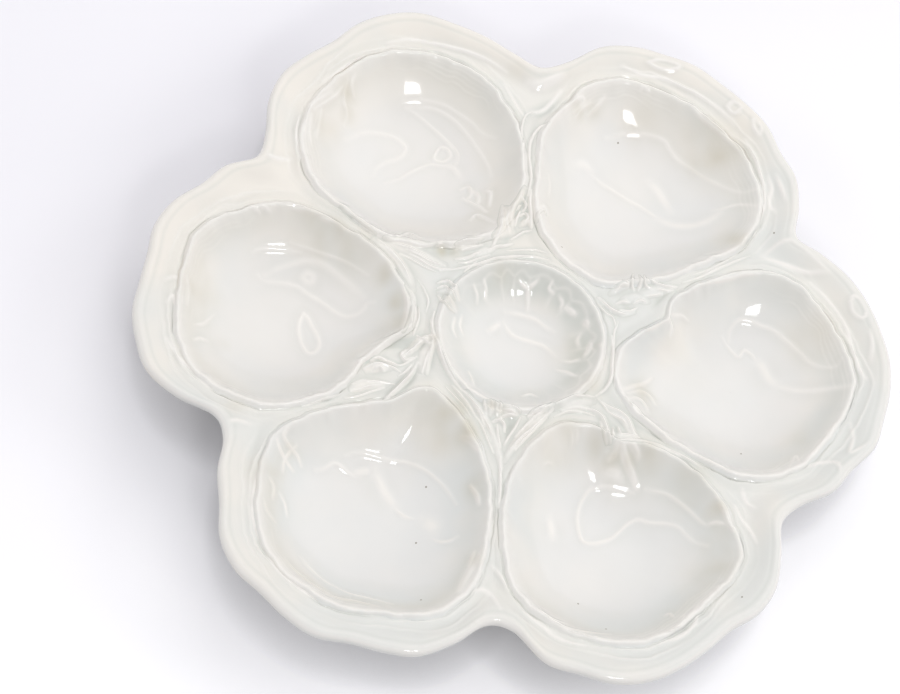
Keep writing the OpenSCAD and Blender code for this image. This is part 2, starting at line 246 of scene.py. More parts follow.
# Ridges read off the photograph. Each set goes by (height, half width) in millimetres, and holds runs of
# pixels: x and y of the first, then of the next, and so on. These lie in the shells.
SHELL_FOLDS = {
    (0.2, 2.2): [[422, 520, 431, 526, 433, 532]],
    (0.26, 1.5): [[374, 470, 380, 484, 387, 497, 395, 508]],
    (0.22, 1.4): [[757, 362, 762, 368, 768, 379, 777, 386]],
    (0.35, 1.3): [[604, 474, 612, 473, 620, 478]],
    (0.22, 1.3): [[648, 183, 656, 190, 662, 199, 670, 212]],
    (0.18, 1.3): [[575, 166, 583, 165, 591, 172]],
    (0.24, 1.2): [[549, 518, 551, 528, 552, 538]],
    (0.2, 1.2): [[656, 218, 665, 223, 675, 226, 692, 226, 706, 222, 717, 215, 722, 209], [303, 278, 307, 274,
        312, 277, 311, 282, 306, 282, 303, 278]],
    (0.24, 1.0): [[352, 474, 362, 472, 370, 471]],
    (0.22, 1.0): [[264, 276, 276, 270, 290, 265, 302, 262, 313, 262, 323, 265, 331, 270, 340, 277, 348, 284,
        356, 291, 363, 298]],
    (0.7, 0.9): [[620, 440, 623, 452, 627, 464, 632, 476, 636, 488]],
    (0.45, 0.9): [[462, 437, 472, 441, 479, 450]],
    (0.4, 0.9): [[482, 552, 472, 566, 465, 578, 459, 590]],
    (0.22, 0.9): [[448, 166, 454, 169, 460, 178]],
    (0.2, 0.9): [[774, 385, 790, 390, 810, 391, 830, 389, 849, 386]],
    (0.6, 0.8): [[618, 443, 616, 452, 610, 459], [629, 443, 635, 450, 638, 457]],
    (0.24, 0.8): [[303, 314, 299, 324, 299, 335, 302, 346, 308, 353, 315, 352, 319, 345, 317, 336, 312, 327,
        307, 318, 303, 314]],
    (0.2, 0.8): [[258, 276, 264, 281, 276, 283, 290, 285, 299, 288, 306, 293, 316, 299, 326, 306, 336, 313,
        346, 317, 356, 315, 363, 310, 367, 304, 374, 303]],
    (0.18, 0.8): [[345, 140, 358, 135, 370, 133, 385, 135, 396, 139, 405, 147, 403, 155, 395, 160, 384, 163,
        377, 168, 373, 176]],
    (0.4, 0.7): [[404, 290, 407, 304, 405, 318, 402, 330]],
    (0.35, 0.7): [[640, 330, 650, 328, 660, 322, 668, 318]],
    (0.3, 0.7): [[538, 212, 545, 208, 548, 214]],
    (0.24, 0.7): [[633, 493, 620, 490, 606, 487, 596, 488, 588, 492, 583, 499, 579, 508, 577, 520, 579, 534,
        583, 542, 592, 544, 603, 542, 612, 538, 620, 531, 628, 524, 638, 520, 650, 523, 664, 524, 677, 527,
        686, 535, 695, 543, 707, 546]],
    (0.22, 0.7): [[315, 471, 324, 469, 332, 464, 338, 465, 345, 471, 352, 475, 360, 477]],
    (0.2, 0.7): [[728, 342, 730, 330, 738, 321, 748, 321, 760, 326, 775, 332, 788, 343, 800, 354, 808, 362,
        820, 367, 835, 367, 841, 359], [605, 139, 615, 137, 625, 134, 640, 134, 655, 137, 665, 142, 669, 150,
        677, 160, 690, 169, 702, 177, 716, 184, 730, 190, 743, 193, 756, 189], [592, 176, 600, 183, 612, 191,
        625, 199, 640, 207, 652, 215, 660, 220], [392, 505, 398, 512, 405, 517, 413, 519]],
    (0.45, 0.6): [[460, 190, 468, 187, 471, 194, 466, 200], [463, 199, 471, 203, 479, 207, 486, 212],
        [472, 190, 478, 197, 477, 205], [487, 191, 490, 194, 489, 206]],
    (0.4, 0.6): [[667, 318, 672, 326, 670, 336], [622, 390, 634, 386, 644, 384, 652, 378], [626, 398,
        638, 398, 645, 404, 648, 412], [566, 108, 574, 101, 583, 99, 582, 107, 574, 113], [470, 220, 476, 215,
        485, 218, 493, 222], [409, 296, 413, 310, 411, 326], [288, 428, 284, 436, 289, 446, 297, 456,
        301, 466], [277, 440, 281, 452, 287, 463, 293, 471], [470, 486, 476, 495, 479, 505], [719, 503,
        724, 512, 729, 524, 734, 531], [696, 607, 688, 616, 680, 623, 671, 630]],
    (0.35, 0.6): [[588, 116, 596, 108, 604, 98], [230, 208, 242, 205, 252, 207, 259, 212], [258, 205,
        264, 208, 270, 212], [321, 217, 328, 221, 335, 221], [474, 552, 470, 563, 469, 574], [300, 414,
        310, 408, 322, 405]],
    (0.3, 0.6): [[640, 90, 644, 87, 648, 92], [705, 271, 720, 263, 733, 256, 742, 246, 744, 238], [355, 75,
        352, 85, 354, 97], [348, 80, 345, 90, 344, 102, 347, 114, 344, 126], [194, 340, 200, 338, 208, 341],
        [708, 524, 716, 523, 724, 524]],
    (0.26, 0.6): [[436, 152, 441, 148, 448, 150, 450, 157, 442, 162, 434, 159, 436, 152]],
    (0.25, 0.6): [[690, 278, 706, 271, 722, 259]],
    (0.2, 0.6): [[722, 338, 729, 349, 738, 357, 744, 351, 752, 356, 757, 364], [712, 211, 722, 209, 733, 206,
        744, 205, 756, 206], [385, 183, 400, 178, 415, 170, 430, 165, 440, 166, 450, 166], [406, 108,
        420, 118, 435, 131, 448, 143, 457, 153, 457, 162, 451, 169], [405, 108, 425, 108, 440, 112, 455, 122,
        468, 136, 478, 150, 487, 165, 491, 177], [432, 539, 440, 542, 449, 541, 457, 537], [345, 456,
        355, 453, 366, 454, 380, 458, 392, 461, 406, 463, 420, 468, 431, 475, 441, 484, 449, 494, 456, 505],
        [645, 490, 656, 492, 667, 495, 678, 502, 690, 512, 702, 523, 709, 526]],
    (0.18, 0.6): [[252, 253, 258, 250, 270, 249, 285, 250, 300, 253]],
    (0.16, 0.6): [[402, 102, 420, 101, 440, 104, 455, 112, 470, 122, 482, 134, 495, 139]],
    (0.45, 0.5): [[700, 463, 708, 473, 714, 484, 717, 497], [712, 474, 719, 486, 724, 498, 727, 510],
        [718, 478, 726, 490, 732, 504, 734, 520]],
    (0.4, 0.5): [[628, 393, 640, 391, 650, 396, 656, 405], [684, 616, 678, 626, 668, 634]],
    (0.35, 0.5): [[624, 405, 634, 405, 640, 411, 643, 419], [345, 84, 337, 95, 326, 103, 314, 109], [385, 236,
        396, 236, 408, 233, 420, 237], [296, 446, 290, 452, 284, 462, 283, 472]],
    (0.3, 0.5): [[671, 314, 681, 316, 688, 321], [806, 458, 816, 448, 826, 436, 834, 424], [812, 461,
        822, 449, 831, 437], [575, 119, 582, 110, 590, 103], [333, 93, 322, 99, 312, 106, 306, 116, 305, 130],
        [276, 201, 296, 204, 318, 211, 338, 220], [290, 207, 310, 211, 330, 219, 344, 229], [270, 478,
        274, 488, 273, 499], [664, 616, 669, 614, 673, 617]],
    (0.25, 0.5): [[700, 284, 722, 281, 740, 276, 760, 274], [536, 152, 538, 168, 541, 178], [688, 99,
        697, 108, 709, 120, 723, 131, 736, 142], [692, 108, 703, 120, 718, 132, 731, 143, 742, 156],
        [700, 113, 714, 124, 729, 136, 741, 149, 750, 164], [322, 106, 320, 122, 317, 138], [312, 114,
        310, 130, 312, 146], [187, 277, 189, 290, 187, 305], [280, 493, 285, 505, 287, 517], [264, 500,
        268, 512, 275, 522], [300, 556, 312, 570, 326, 582, 342, 590], [286, 560, 300, 574, 316, 586,
        334, 596], [318, 590, 336, 597, 356, 601, 378, 606], [330, 584, 348, 593, 368, 598, 392, 604],
        [545, 622, 560, 630, 580, 635, 604, 638], [548, 617, 564, 626, 584, 631, 610, 634]],
    (0.2, 0.5): [[790, 466, 795, 456, 799, 462], [290, 243, 305, 248, 320, 253, 335, 258, 345, 262, 356, 268,
        368, 276], [194, 325, 204, 323, 214, 315], [185, 245, 191, 238, 198, 229], [540, 610, 552, 618,
        566, 623]],
    (0.15, 0.5): [[549, 175, 550, 186, 549, 197], [543, 466, 547, 463, 552, 464], [571, 430, 572, 440,
        571, 447], [576, 428, 577, 436, 576, 443]],
}

# Bumps and ridges in the wall and floor of the cup
CUP_FOLDS = {
    (0.35, 0.9): [[584, 322, 588, 326]],
    (0.3, 0.9): [[488, 331, 494, 328, 500, 324]],
    (0.4, 0.8): [[566, 308, 571, 312, 575, 315]],
    (0.35, 0.8): [[590, 342, 588, 350, 584, 357]],
    (0.24, 0.8): [[505, 313, 513, 314, 522, 316, 535, 320, 545, 327, 553, 332], [503, 323, 508, 331, 515, 337,
        527, 341, 540, 345, 548, 350, 554, 356]],
    (0.25, 0.7): [[580, 335, 577, 341, 579, 348]],
    (0.45, 0.6): [[441, 286, 449, 285, 456, 291, 459, 300], [440, 293, 447, 296, 452, 303, 456, 311]],
    (0.3, 0.6): [[519, 281, 524, 286, 528, 289], [538, 280, 533, 285, 529, 288], [528, 288, 528, 300,
        527, 313], [562, 361, 570, 362, 579, 359], [556, 370, 566, 372, 575, 376], [522, 396, 530, 394,
        537, 397]],
    (0.25, 0.6): [[559, 296, 562, 303, 560, 310], [600, 344, 604, 354, 603, 366, 599, 374]],
    (0.3, 0.5): [[484, 280, 486, 290, 485, 300], [474, 286, 477, 295, 477, 304], [552, 282, 549, 289,
        553, 294], [468, 371, 471, 377, 474, 385], [455, 318, 453, 328, 456, 337], [462, 316, 460, 326,
        463, 335]],
}

# Brown and olive stains where the glaze lies thick, which also paint shade on shaded walls and in hollows:
# strength, radius in millimetres, and a pixel
STAINS_AND_SHADE = [
    (0.45, 3.0, 346, 92), (0.35, 2.6, 347, 114), (0.3, 4.5, 326, 132), (0.4, 2.0, 578, 111),
    (0.3, 2.5, 592, 110), (0.45, 3.6, 733, 240), (0.3, 6.0, 706, 136), (0.4, 3.2, 642, 394),
    (0.25, 6.0, 815, 338), (0.2, 4.0, 800, 440), (0.4, 4.0, 566, 433), (0.5, 3.0, 596, 443),
    (0.55, 2.2, 612, 460), (0.5, 2.2, 632, 459), (0.6, 2.4, 716, 511), (0.4, 5.0, 694, 480),
    (0.35, 4.0, 652, 452), (0.6, 4.5, 452, 412), (0.75, 3.8, 466, 428), (0.5, 2.6, 474, 488),
    (0.3, 4.0, 430, 402), (0.3, 2.5, 474, 560), (0.65, 2.2, 384, 275), (0.6, 2.6, 398, 302),
    (0.35, 4.0, 396, 322), (0.35, 5.0, 352, 246), (0.3, 5.0, 310, 222), (0.35, 3.4, 588, 384),
    (0.3, 5.0, 572, 350), (0.7, 1.6, 442, 250), (0.5, 1.6, 454, 252), (0.3, 3.0, 504, 270),
    (0.45, 1.6, 492, 405), (0.35, 1.6, 502, 410), (0.3, 2.2, 290, 450), (0.3, 3.0, 272, 470),
    (0.25, 3.0, 455, 394), (0.3, 2.0, 450, 300), (0.4, 1.2, 434, 338), (0.3, 2.5, 516, 72),
    (0.25, 3.0, 236, 408), (0.25, 2.0, 222, 345), (0.4, 7.0, 440, 430), (0.25, 6.0, 556, 448),
    (0.4, 6.0, 330, 228), (0.55, 7.0, 716, 152), (0.3, 7.0, 712, 568), (0.3, 5.0, 640, 120),
    (0.25, 6.0, 196, 290), (0.2, 5.0, 262, 470),
]

# Dents in the web between the tufts, by depth and half width
DENTS = {
    (0.7, 2.6): [[532, 114, 544, 110, 554, 104]],
    (1.1, 1.8): [[372, 348, 386, 343, 400, 342, 412, 345]],
    (0.9, 1.5): [[436, 250, 446, 251, 456, 250]],
    (1.0, 1.3): [[514, 418, 509, 427, 505, 436]],
    (0.6, 1.0): [[520, 204, 524, 211, 521, 218]],
    (0.5, 0.9): [[620, 306, 632, 307], [652, 308, 664, 294, 676, 286]],
    (0.6, 0.8): [[360, 363, 376, 359, 394, 364, 410, 362], [538, 226, 548, 242, 560, 256, 572, 268],
        [480, 412, 488, 428, 494, 444]],
    (0.5, 0.8): [[618, 284, 626, 281, 632, 287], [612, 424, 618, 432], [640, 428, 656, 436, 672, 443,
        688, 450], [404, 388, 412, 378, 418, 366], [418, 350, 424, 342]],
}

# Tufts between two shells and the cup. Strokes finer than FINE_WIDTH lie on top of the broad ones.
SPRIG_STROKES = [
    {
        (0.4, 1.5): [[638, 297, 652, 293, 664, 289, 674, 289]],
        (0.4, 1.4): [[622, 300, 636, 298, 648, 302]],
        (0.4, 1.2): [[610, 294, 620, 288, 630, 284]],
        (0.6, 0.8): [[600, 298, 610, 308, 622, 314, 634, 313]],
        (0.7, 0.5): [[633, 274, 632, 282, 634, 290], [639, 275, 641, 282, 638, 290]],
        (0.6, 0.5): [[644, 275, 645, 283, 651, 289], [650, 279, 657, 284, 666, 287, 676, 287], [616, 291,
            622, 286, 628, 285, 624, 280]],
        (0.5, 0.5): [[598, 298, 606, 306, 614, 312, 624, 315], [616, 304, 622, 302, 629, 303], [621, 310,
            630, 311, 637, 308], [634, 304, 640, 301, 646, 303]],
        (0.4, 0.5): [[682, 283, 700, 277, 718, 269, 734, 262, 750, 256]],
        (0.4, 0.4): [[597, 303, 605, 312, 613, 318, 616, 328], [654, 289, 664, 291, 673, 290], [645, 297,
            654, 296, 662, 294], [618, 322, 614, 334, 614, 348]],
        (0.3, 0.4): [[690, 276, 708, 270, 724, 262, 738, 254]],
    }, {
        (0.6, 1.6): [[496, 236, 505, 231, 512, 232]],
        (0.5, 1.2): [[492, 250, 484, 252, 474, 256]],
        (0.8, 1.0): [[505, 234, 502, 222, 505, 208]],
        (0.5, 1.0): [[520, 226, 527, 222, 532, 226]],
        (0.7, 0.9): [[512, 230, 511, 216, 514, 205, 520, 197, 525, 188]],
        (0.6, 0.5): [[488, 251, 496, 247, 504, 246, 512, 244], [531, 228, 531, 216, 530, 203, 531, 190]],
        (0.5, 0.5): [[492, 248, 496, 239, 500, 230, 501, 218, 502, 205], [537, 222, 538, 214, 544, 210,
            546, 215], [528, 196, 531, 176, 529, 157, 531, 140, 539, 128, 549, 122]],
        (0.5, 0.4): [[508, 230, 507, 219, 509, 207], [511, 240, 517, 236, 524, 232, 531, 231], [520, 216,
            525, 213, 528, 218, 524, 222], [522, 197, 526, 205, 523, 211], [515, 226, 517, 218, 520, 211]],
        (0.4, 0.4): [[523, 142, 522, 127, 527, 114, 540, 111, 552, 106], [506, 251, 520, 250, 534, 250,
            546, 253]],
    }, {
        (0.5, 1.6): [[386, 243, 405, 248, 424, 258, 444, 265]],
        (0.6, 1.5): [[457, 248, 466, 244, 478, 243]],
        (0.5, 1.5): [[374, 240, 388, 250, 399, 262, 408, 276, 413, 290]],
        (0.4, 1.4): [[392, 242, 410, 242, 428, 243]],
        (0.6, 0.5): [[455, 259, 466, 258, 476, 254, 486, 251]],
        (0.5, 0.5): [[410, 255, 419, 260, 429, 266, 439, 269, 450, 269], [384, 237, 392, 240, 402, 242,
            414, 245, 426, 246, 437, 243], [440, 271, 455, 269, 470, 266, 484, 262, 496, 258, 508, 257,
            522, 256, 536, 257, 549, 260]],
        (0.5, 0.4): [[456, 245, 464, 241, 474, 240, 484, 238]],
        (0.45, 0.4): [[406, 250, 418, 256, 430, 262, 444, 266], [458, 263, 468, 262, 480, 258, 490, 255],
            [464, 272, 470, 267, 476, 262]],
        (0.4, 0.4): [[394, 244, 407, 248, 420, 254, 430, 258], [400, 254, 412, 260, 424, 267, 436, 272],
            [462, 250, 472, 248, 482, 245], [384, 246, 394, 256, 403, 267, 410, 280], [378, 240, 390, 250,
            400, 262, 408, 274], [418, 280, 424, 290, 428, 301, 426, 312]],
        (0.35, 0.4): [[340, 206, 352, 215, 364, 224, 376, 234]],
    }, {
        (0.5, 1.6): [[352, 389, 368, 385, 386, 384]],
        (0.4, 1.6): [[420, 370, 424, 356, 428, 346]],
        (0.7, 1.4): [[367, 370, 377, 367, 389, 368]],
        (0.7, 1.1): [[404, 356, 412, 349, 420, 341, 430, 337]],
        (0.5, 0.9): [[438, 292, 446, 292, 453, 300]],
        (0.8, 0.8): [[386, 399, 396, 390, 406, 380, 414, 370], [427, 374, 428, 362, 431, 350, 433, 341]],
        (0.6, 0.8): [[406, 286, 413, 298, 411, 315, 403, 331]],
        (0.7, 0.5): [[434, 312, 432, 322, 433, 332, 437, 342, 440, 353, 444, 364, 449, 374, 456, 384,
            464, 393]],
        (0.6, 0.5): [[364, 369, 372, 365, 382, 364, 392, 367, 400, 372], [374, 371, 379, 368, 384, 371],
            [406, 350, 401, 355, 405, 360, 413, 358], [437, 283, 447, 281, 455, 285, 458, 291], [438, 296,
            442, 301, 448, 306, 454, 312]],
        (0.5, 0.5): [[384, 400, 392, 393, 402, 384, 411, 374, 417, 363]],
        (0.6, 0.4): [[437, 288, 445, 286, 452, 291, 456, 299]],
        (0.5, 0.4): [[371, 360, 378, 357, 388, 361, 400, 365, 410, 361, 416, 357], [404, 356, 411, 351,
            418, 345, 424, 340], [352, 384, 364, 381, 378, 382, 394, 384], [351, 391, 360, 390, 368, 387,
            380, 385], [344, 398, 358, 396, 370, 392, 384, 388], [422, 373, 425, 361, 429, 350], [424, 337,
            430, 336, 433, 341, 428, 343], [417, 336, 424, 340, 430, 344], [414, 303, 416, 314, 413, 327],
            [419, 308, 418, 321, 413, 335], [438, 338, 442, 350, 447, 363, 453, 375, 460, 386], [430, 320,
            433, 330, 436, 338]],
        (0.4, 0.4): [[398, 376, 406, 371, 412, 364]],
        (0.3, 0.4): [[300, 408, 316, 402, 332, 397, 344, 392]],
    }, {
        (0.6, 1.2): [[530, 417, 540, 411, 552, 404]],
        (0.5, 1.2): [[503, 408, 511, 411, 518, 413]],
        (0.6, 1.1): [[466, 393, 476, 406, 485, 420, 492, 436, 498, 452, 501, 468], [550, 410, 538, 421,
            525, 433, 513, 446, 504, 462]],
        (0.8, 0.8): [[488, 402, 490, 415], [495, 401, 497, 414]],
        (0.7, 0.5): [[493, 422, 499, 420, 504, 424, 505, 431]],
        (0.6, 0.5): [[501, 417, 508, 415, 516, 415]],
        (0.5, 0.5): [[452, 386, 462, 397, 470, 408, 478, 420], [500, 458, 500, 474, 500, 490, 499, 508]],
        (0.6, 0.4): [[482, 416, 487, 425, 492, 435]],
        (0.5, 0.4): [[446, 387, 455, 397, 464, 407, 471, 417], [458, 386, 468, 397, 478, 409, 486, 421],
            [477, 417, 483, 429, 488, 441, 493, 453], [471, 402, 479, 414, 485, 426], [484, 400, 486, 414],
            [491, 399, 493, 412], [500, 401, 500, 413], [503, 404, 512, 406, 520, 411], [502, 410, 510, 412,
            517, 415], [497, 425, 498, 436, 500, 447], [520, 418, 515, 427, 509, 436, 504, 445], [552, 403,
            544, 410, 534, 418, 524, 427, 515, 437], [553, 409, 543, 419, 532, 429, 521, 438, 510, 449],
            [548, 404, 538, 409, 528, 416], [546, 418, 536, 428, 525, 439, 515, 450]],
        (0.4, 0.4): [[466, 420, 474, 434, 482, 450]],
    }, {
        (0.5, 1.4): [[616, 436, 628, 438, 642, 441]],
        (0.4, 1.4): [[556, 408, 568, 404, 582, 402, 594, 402]],
        (0.6, 1.2): [[611, 409, 621, 417, 629, 427, 634, 438]],
        (0.5, 1.0): [[608, 441, 606, 428, 602, 417, 594, 411]],
        (0.6, 0.5): [[602, 402, 611, 408, 620, 412, 628, 420, 632, 430, 638, 438], [612, 336, 613, 350,
            612, 365, 611, 378, 605, 389, 596, 396]],
        (0.5, 0.5): [[562, 411, 575, 408, 588, 409, 599, 414, 605, 424, 609, 434, 611, 443]],
        (0.4, 0.5): [[650, 442, 668, 450, 688, 459, 702, 468]],
        (0.5, 0.4): [[556, 403, 568, 398, 581, 396, 594, 397], [598, 399, 604, 406, 609, 413], [606, 410,
            614, 416, 622, 421, 627, 428], [607, 430, 610, 441], [613, 427, 613, 438], [619, 434, 630, 435,
            639, 438], [618, 439, 632, 440, 644, 441, 656, 444, 666, 448], [618, 427, 621, 435]],
        (0.45, 0.4): [[554, 417, 567, 412, 582, 412, 594, 416]],
        (0.4, 0.4): [[600, 422, 604, 433, 607, 444]],
    },
]

# Folds on the flange and the web
FLANGE_FOLDS = {
    (0.5, 1.3): [[528, 84, 540, 86, 552, 81, 562, 76]],
    (0.35, 0.8): [[528, 112, 540, 111, 550, 104, 560, 92]],
    (0.3, 0.8): [[762, 257, 785, 266, 806, 273, 828, 272], [768, 178, 771, 190, 769, 204, 775, 212],
        [785, 200, 781, 188, 776, 176], [262, 153, 276, 158, 290, 160], [222, 424, 236, 420, 250, 424],
        [470, 592, 482, 590, 492, 596, 500, 608]],
    (0.25, 0.8): [[762, 257, 775, 246, 788, 240, 800, 245, 815, 258, 828, 272]],
    (0.3, 0.7): [[870, 330, 872, 345, 870, 362], [742, 490, 746, 503, 754, 508]],
    (0.35, 0.6): [[810, 283, 825, 298, 838, 315, 847, 332, 853, 350, 858, 368, 866, 379], [622, 66, 640, 75,
        660, 79, 680, 86, 700, 97, 718, 110, 734, 126], [745, 140, 754, 155, 760, 172, 763, 190, 764, 206,
        759, 222, 754, 236], [388, 43, 408, 40, 430, 43, 452, 48, 472, 54, 490, 62, 506, 73], [165, 280,
        174, 277, 183, 279], [166, 302, 173, 296, 175, 306, 176, 318], [166, 338, 175, 353, 186, 365,
        200, 377, 214, 388], [258, 470, 254, 488, 252, 508, 255, 528, 262, 545], [268, 556, 280, 572,
        296, 586, 316, 598, 340, 606, 362, 611], [735, 506, 741, 519, 749, 530, 756, 542], [698, 612,
        695, 622, 687, 632, 676, 639, 660, 643]],
    (0.3, 0.6): [[850, 302, 854, 296, 862, 300, 867, 311, 862, 318, 853, 313, 850, 302], [850, 424, 853, 438,
        850, 452, 860, 448, 868, 443], [800, 468, 820, 463, 837, 463, 842, 478], [648, 63, 658, 60, 670, 61,
        680, 66, 672, 70, 659, 69, 648, 63], [727, 107, 733, 102, 741, 105, 738, 112, 731, 113, 727, 107],
        [753, 120, 757, 118, 761, 127, 759, 135, 754, 129, 753, 120], [504, 84, 511, 97, 518, 108, 526, 119],
        [324, 82, 338, 72, 350, 64, 364, 57], [492, 566, 500, 576, 508, 590], [524, 612, 540, 626, 560, 640,
        584, 646]],
    (0.35, 0.5): [[304, 164, 298, 148, 296, 132, 299, 117]],
}

# Dark specks fired into the glaze
SPECK_PIXELS = [(618, 143), (562, 247), (774, 233), (578, 604), (606, 629), (742, 597), (741, 454),
                (426, 487), (416, 543), (421, 600)]
SPECK_RADIUS = 0.33

# Rows and columns of the meshes, and the step of the grid under a tuft in millimetres
SHELL_COLUMNS = 504
BOWL_RINGS = 112
OUTSIDE_RINGS = 18
CUP_COLUMNS = 448
CUP_RINGS = 88
TRAY_RIM_COLUMNS = 150
TRAY_SIDE_COLUMNS = 86
TRAY_CUP_COLUMNS = 36
TRAY_RINGS = 36
TRAY_UNDER_RINGS = 4
RIM_EDGE_STEPS = 12
SPRIG_STEP = 0.2
FOOT_COLUMNS = 288


def ease(t):
    """Zero below 0, one above 1 and a smooth S between: 3 t squared less 2 t cubed."""
    c = np.clip(t, 0.0, 1.0)
    return c * c * (3 - 2 * c)


def mix(a, b, t):
    """The value a share t of the way from a to b."""
    return a * (1 - t) + b * t


def bell(x):
    """One at zero, falling away on both sides as e to the minus x squared."""
    return np.exp(-x * x)


def smooth_share(shares, turn):
    """A closed curve through evenly spaced shares, with a cubic between each two of them."""
    count = len(shares)
    at = np.asarray(turn) * count
    step = np.floor(at).astype(int)
    t = at - step
    before, here, after, beyond = (shares[(step + k) % count] for k in (-1, 0, 1, 2))
    slope = (after - before) / 2
    bend = before - 2.5 * here + 2 * after - beyond / 2
    twist = (beyond - before) / 2 + 1.5 * (here - after)
    return here + t * (slope + t * (bend + t * twist))


def polar(radius, angle):
    """Plan points at a radius and an angle in degrees."""
    a = np.radians(angle)
    return np.stack([radius * np.cos(a), radius * np.sin(a)], -1)


def angle_of(points):
    """Angle in degrees of plan points about the origin."""
    return np.degrees(np.arctan2(points[..., 1], points[..., 0]))


def length_of(points):
    """Distance of plan points from the origin."""
    return np.hypot(points[..., 0], points[..., 1])


def rim_radius(angle):
    """Radius of the plate's outline at an angle, a hair inside the solid's."""
    return PLATE_RADIUS * smooth_share(RIM_SHARES, (angle + LOBE_ANGLE / 2) / 360) - GLAZE_INSET


def centre_of(i):
    """Middle of shell i, or of the cup, which stands off the plate's middle."""
    if i == CUP:
        return polar(CUP_SHIFT, CUP_SHIFT_ANGLE)
    return polar(RING_RADIUS, i * LOBE_ANGLE)


def lip_radius(i, angle, nicked=1.0):
    """Radius of a lip about its own middle, with small nicks: four sines of unlike counts."""
    a = np.radians(angle)
    nick = NICK * (np.sin(11 * a + 2 * i) + np.sin(19 * a + 5 * i) + 0.7 * np.sin(31 * a + 3 * i)
                   + 0.4 * np.sin(53 * a + 7 * i)) / 2
    nick = nick * nicked
    if i == CUP:
        return CUP_RADIUS + nick / 2
    return SHELL_RADIUS * smooth_share(LIP_SHARES[i], (angle - i * LOBE_ANGLE) / 360) + nick


def lip_height(i, angle, nicked=1.0):
    """Height of the crest of a lip: slow waves round a shell, and a frill that comes and goes as the
    product of a fast sine and a slow one. Both are left out where a share of nicks is nought."""
    frill = FRILL * np.sin(np.radians(29 * angle) + i) * np.sin(np.radians(5 * angle) + 2 * i)
    if i == CUP:
        return LIP_TOP + nicked * frill / 2
    return LIP_TOP + nicked * (LIP_WAVE * np.sin(np.radians(LIP_WAVES * angle + WAVE_TURN * i)) + frill)


def bowl_drop(share, power=BOWL_POWER):
    """How far a bowl has dropped at a share of its radius: steep at the lip, flat in the middle."""
    return np.power(np.clip(1 - share ** 3, 0, 1), power)


def bowl_rise(share):
    """Rise of a bowl's outside from its flat bottom."""
    return np.maximum(0, 1 - bowl_drop(share) / bowl_drop(BASE_SHARE))


def ripple(points, wave, seed, turns=5):
    """Gentle unevenness of about -1 to 1: a mean of sines that run in seeded directions."""
    rng = np.random.default_rng(seed)
    total = 0
    for direction, phase, stretch in zip(rng.uniform(0, 180, turns), rng.uniform(0, 6.3, turns),
                                         rng.uniform(0.7, 1.5, turns)):
        along = points @ polar(1.0, direction)
        total = total + np.sin(along * 2 * math.pi / (wave * stretch) + phase)
    return total / turns * 1.6


def outward(i, angle):
    """One on the side of shell i that looks away from the plate's middle, and zero on its hinge side."""
    return ease((np.cos(np.radians(angle - i * LOBE_ANGLE)) + 0.25) / 0.8)


def facing_back(angle):
    """One on the near side of a lip, whose inside looks to the back, and less on its far side."""
    return 0.25 + 0.75 * ease(0.3 - np.sin(np.radians(angle)))


def patches(i, angle, turns=3):
    """Shares of 0 to 1 that come and go round a lip: an S of two sines."""
    a = np.radians(angle)
    return ease(0.5 + 0.45 * np.sin(turns * a + 2 * i) + 0.35 * np.sin((2 * turns + 1) * a + 5 * i))


def rim_wave(angle):
    """Slow dips of the rim's height, never above the solid's rim: a negative mean of sines."""
    a = np.radians(angle)
    return -0.25 * (1 + 0.6 * np.sin(13 * a + 1) + 0.4 * np.sin(21 * a + 4)) / 2 - 0.02


def inward_of(points):
    """How far plan points lie inside the line where the rim's round edge starts."""
    return rim_radius(angle_of(points)) - RIM_ROUND - length_of(points)


def web_height(points):
    """Flat web, rising to the rim in a belt along the outline, which is narrower at one notch."""
    angle = angle_of(points)
    belt = RIM_BELT * (1 - NOTCH_NARROWING * bell((angle - NOTCH_ANGLE) / NOTCH_SPAN))
    return WEB_TOP + (RIM_RISE + rim_wave(angle)) * ease(1 - inward_of(points) / belt)


def beside_lips(points):
    """Distance of plan points from each of the seven lips, and the angle about each middle."""
    distances, angles = [], []
    for i in range(LOBES + 1):
        away = points - centre_of(i)
        angle = angle_of(away)
        distances.append(length_of(away) - lip_radius(i, angle))
        angles.append(angle)
    return np.array(distances), np.array(angles)


def contours(i, distance, angle):
    """Two thin lines outside a lip, at wandering distances from it, which come and go along it."""
    a = np.radians(angle)
    lines = 0
    for k, place in enumerate(CONTOUR_PLACES):
        wander = 0.5 * np.sin(5 * a + i + 2 * k) + 0.35 * np.sin(11 * a + 3 * i + k)
        line = bell((distance - place - wander) / CONTOUR_WIDTH)
        lines = lines + line * (0.25 + 0.75 * patches(i + k, angle, 2 + k))
    return lines


def web_surface(points):
    """The tray's top: the web, a crease along each lip, fainter contours outside it on the outward
    side, a shallow groove inside the rim, and slow ripples that fade at the rim and at the lips."""
    distances, angles = beside_lips(points)
    gap = distances.min(0)
    height = web_height(points) + WEB_LIFT * (1 - ease((gap - LIFT_START) / LIFT_SPAN))
    nearest_two = np.sort(distances, axis=0)[1]
    alone = ease((nearest_two - 4) / 5)
    for i in range(LOBES + 1):
        crease = bell((distances[i] - CREASE_PLACE) / CREASE_WIDTH)
        height = height - CREASE_DEPTH * crease * (0.3 + 0.7 * patches(i, angles[i]))
        side = CUP_CONTOURS if i == CUP else outward(i, angles[i])
        height = height + CONTOUR_RISE * side * alone * contours(i, distances[i], angles[i])
    inward = inward_of(points)
    free = ease(inward / 4) * ease((gap - 2) / 3)
    height = height - RIM_GROOVE * bell((inward - GROOVE_PLACE) / GROOVE_WIDTH)
    return height + FLANGE_RIPPLE * free * ripple(points, FLANGE_WAVE, FLANGE_SEED)


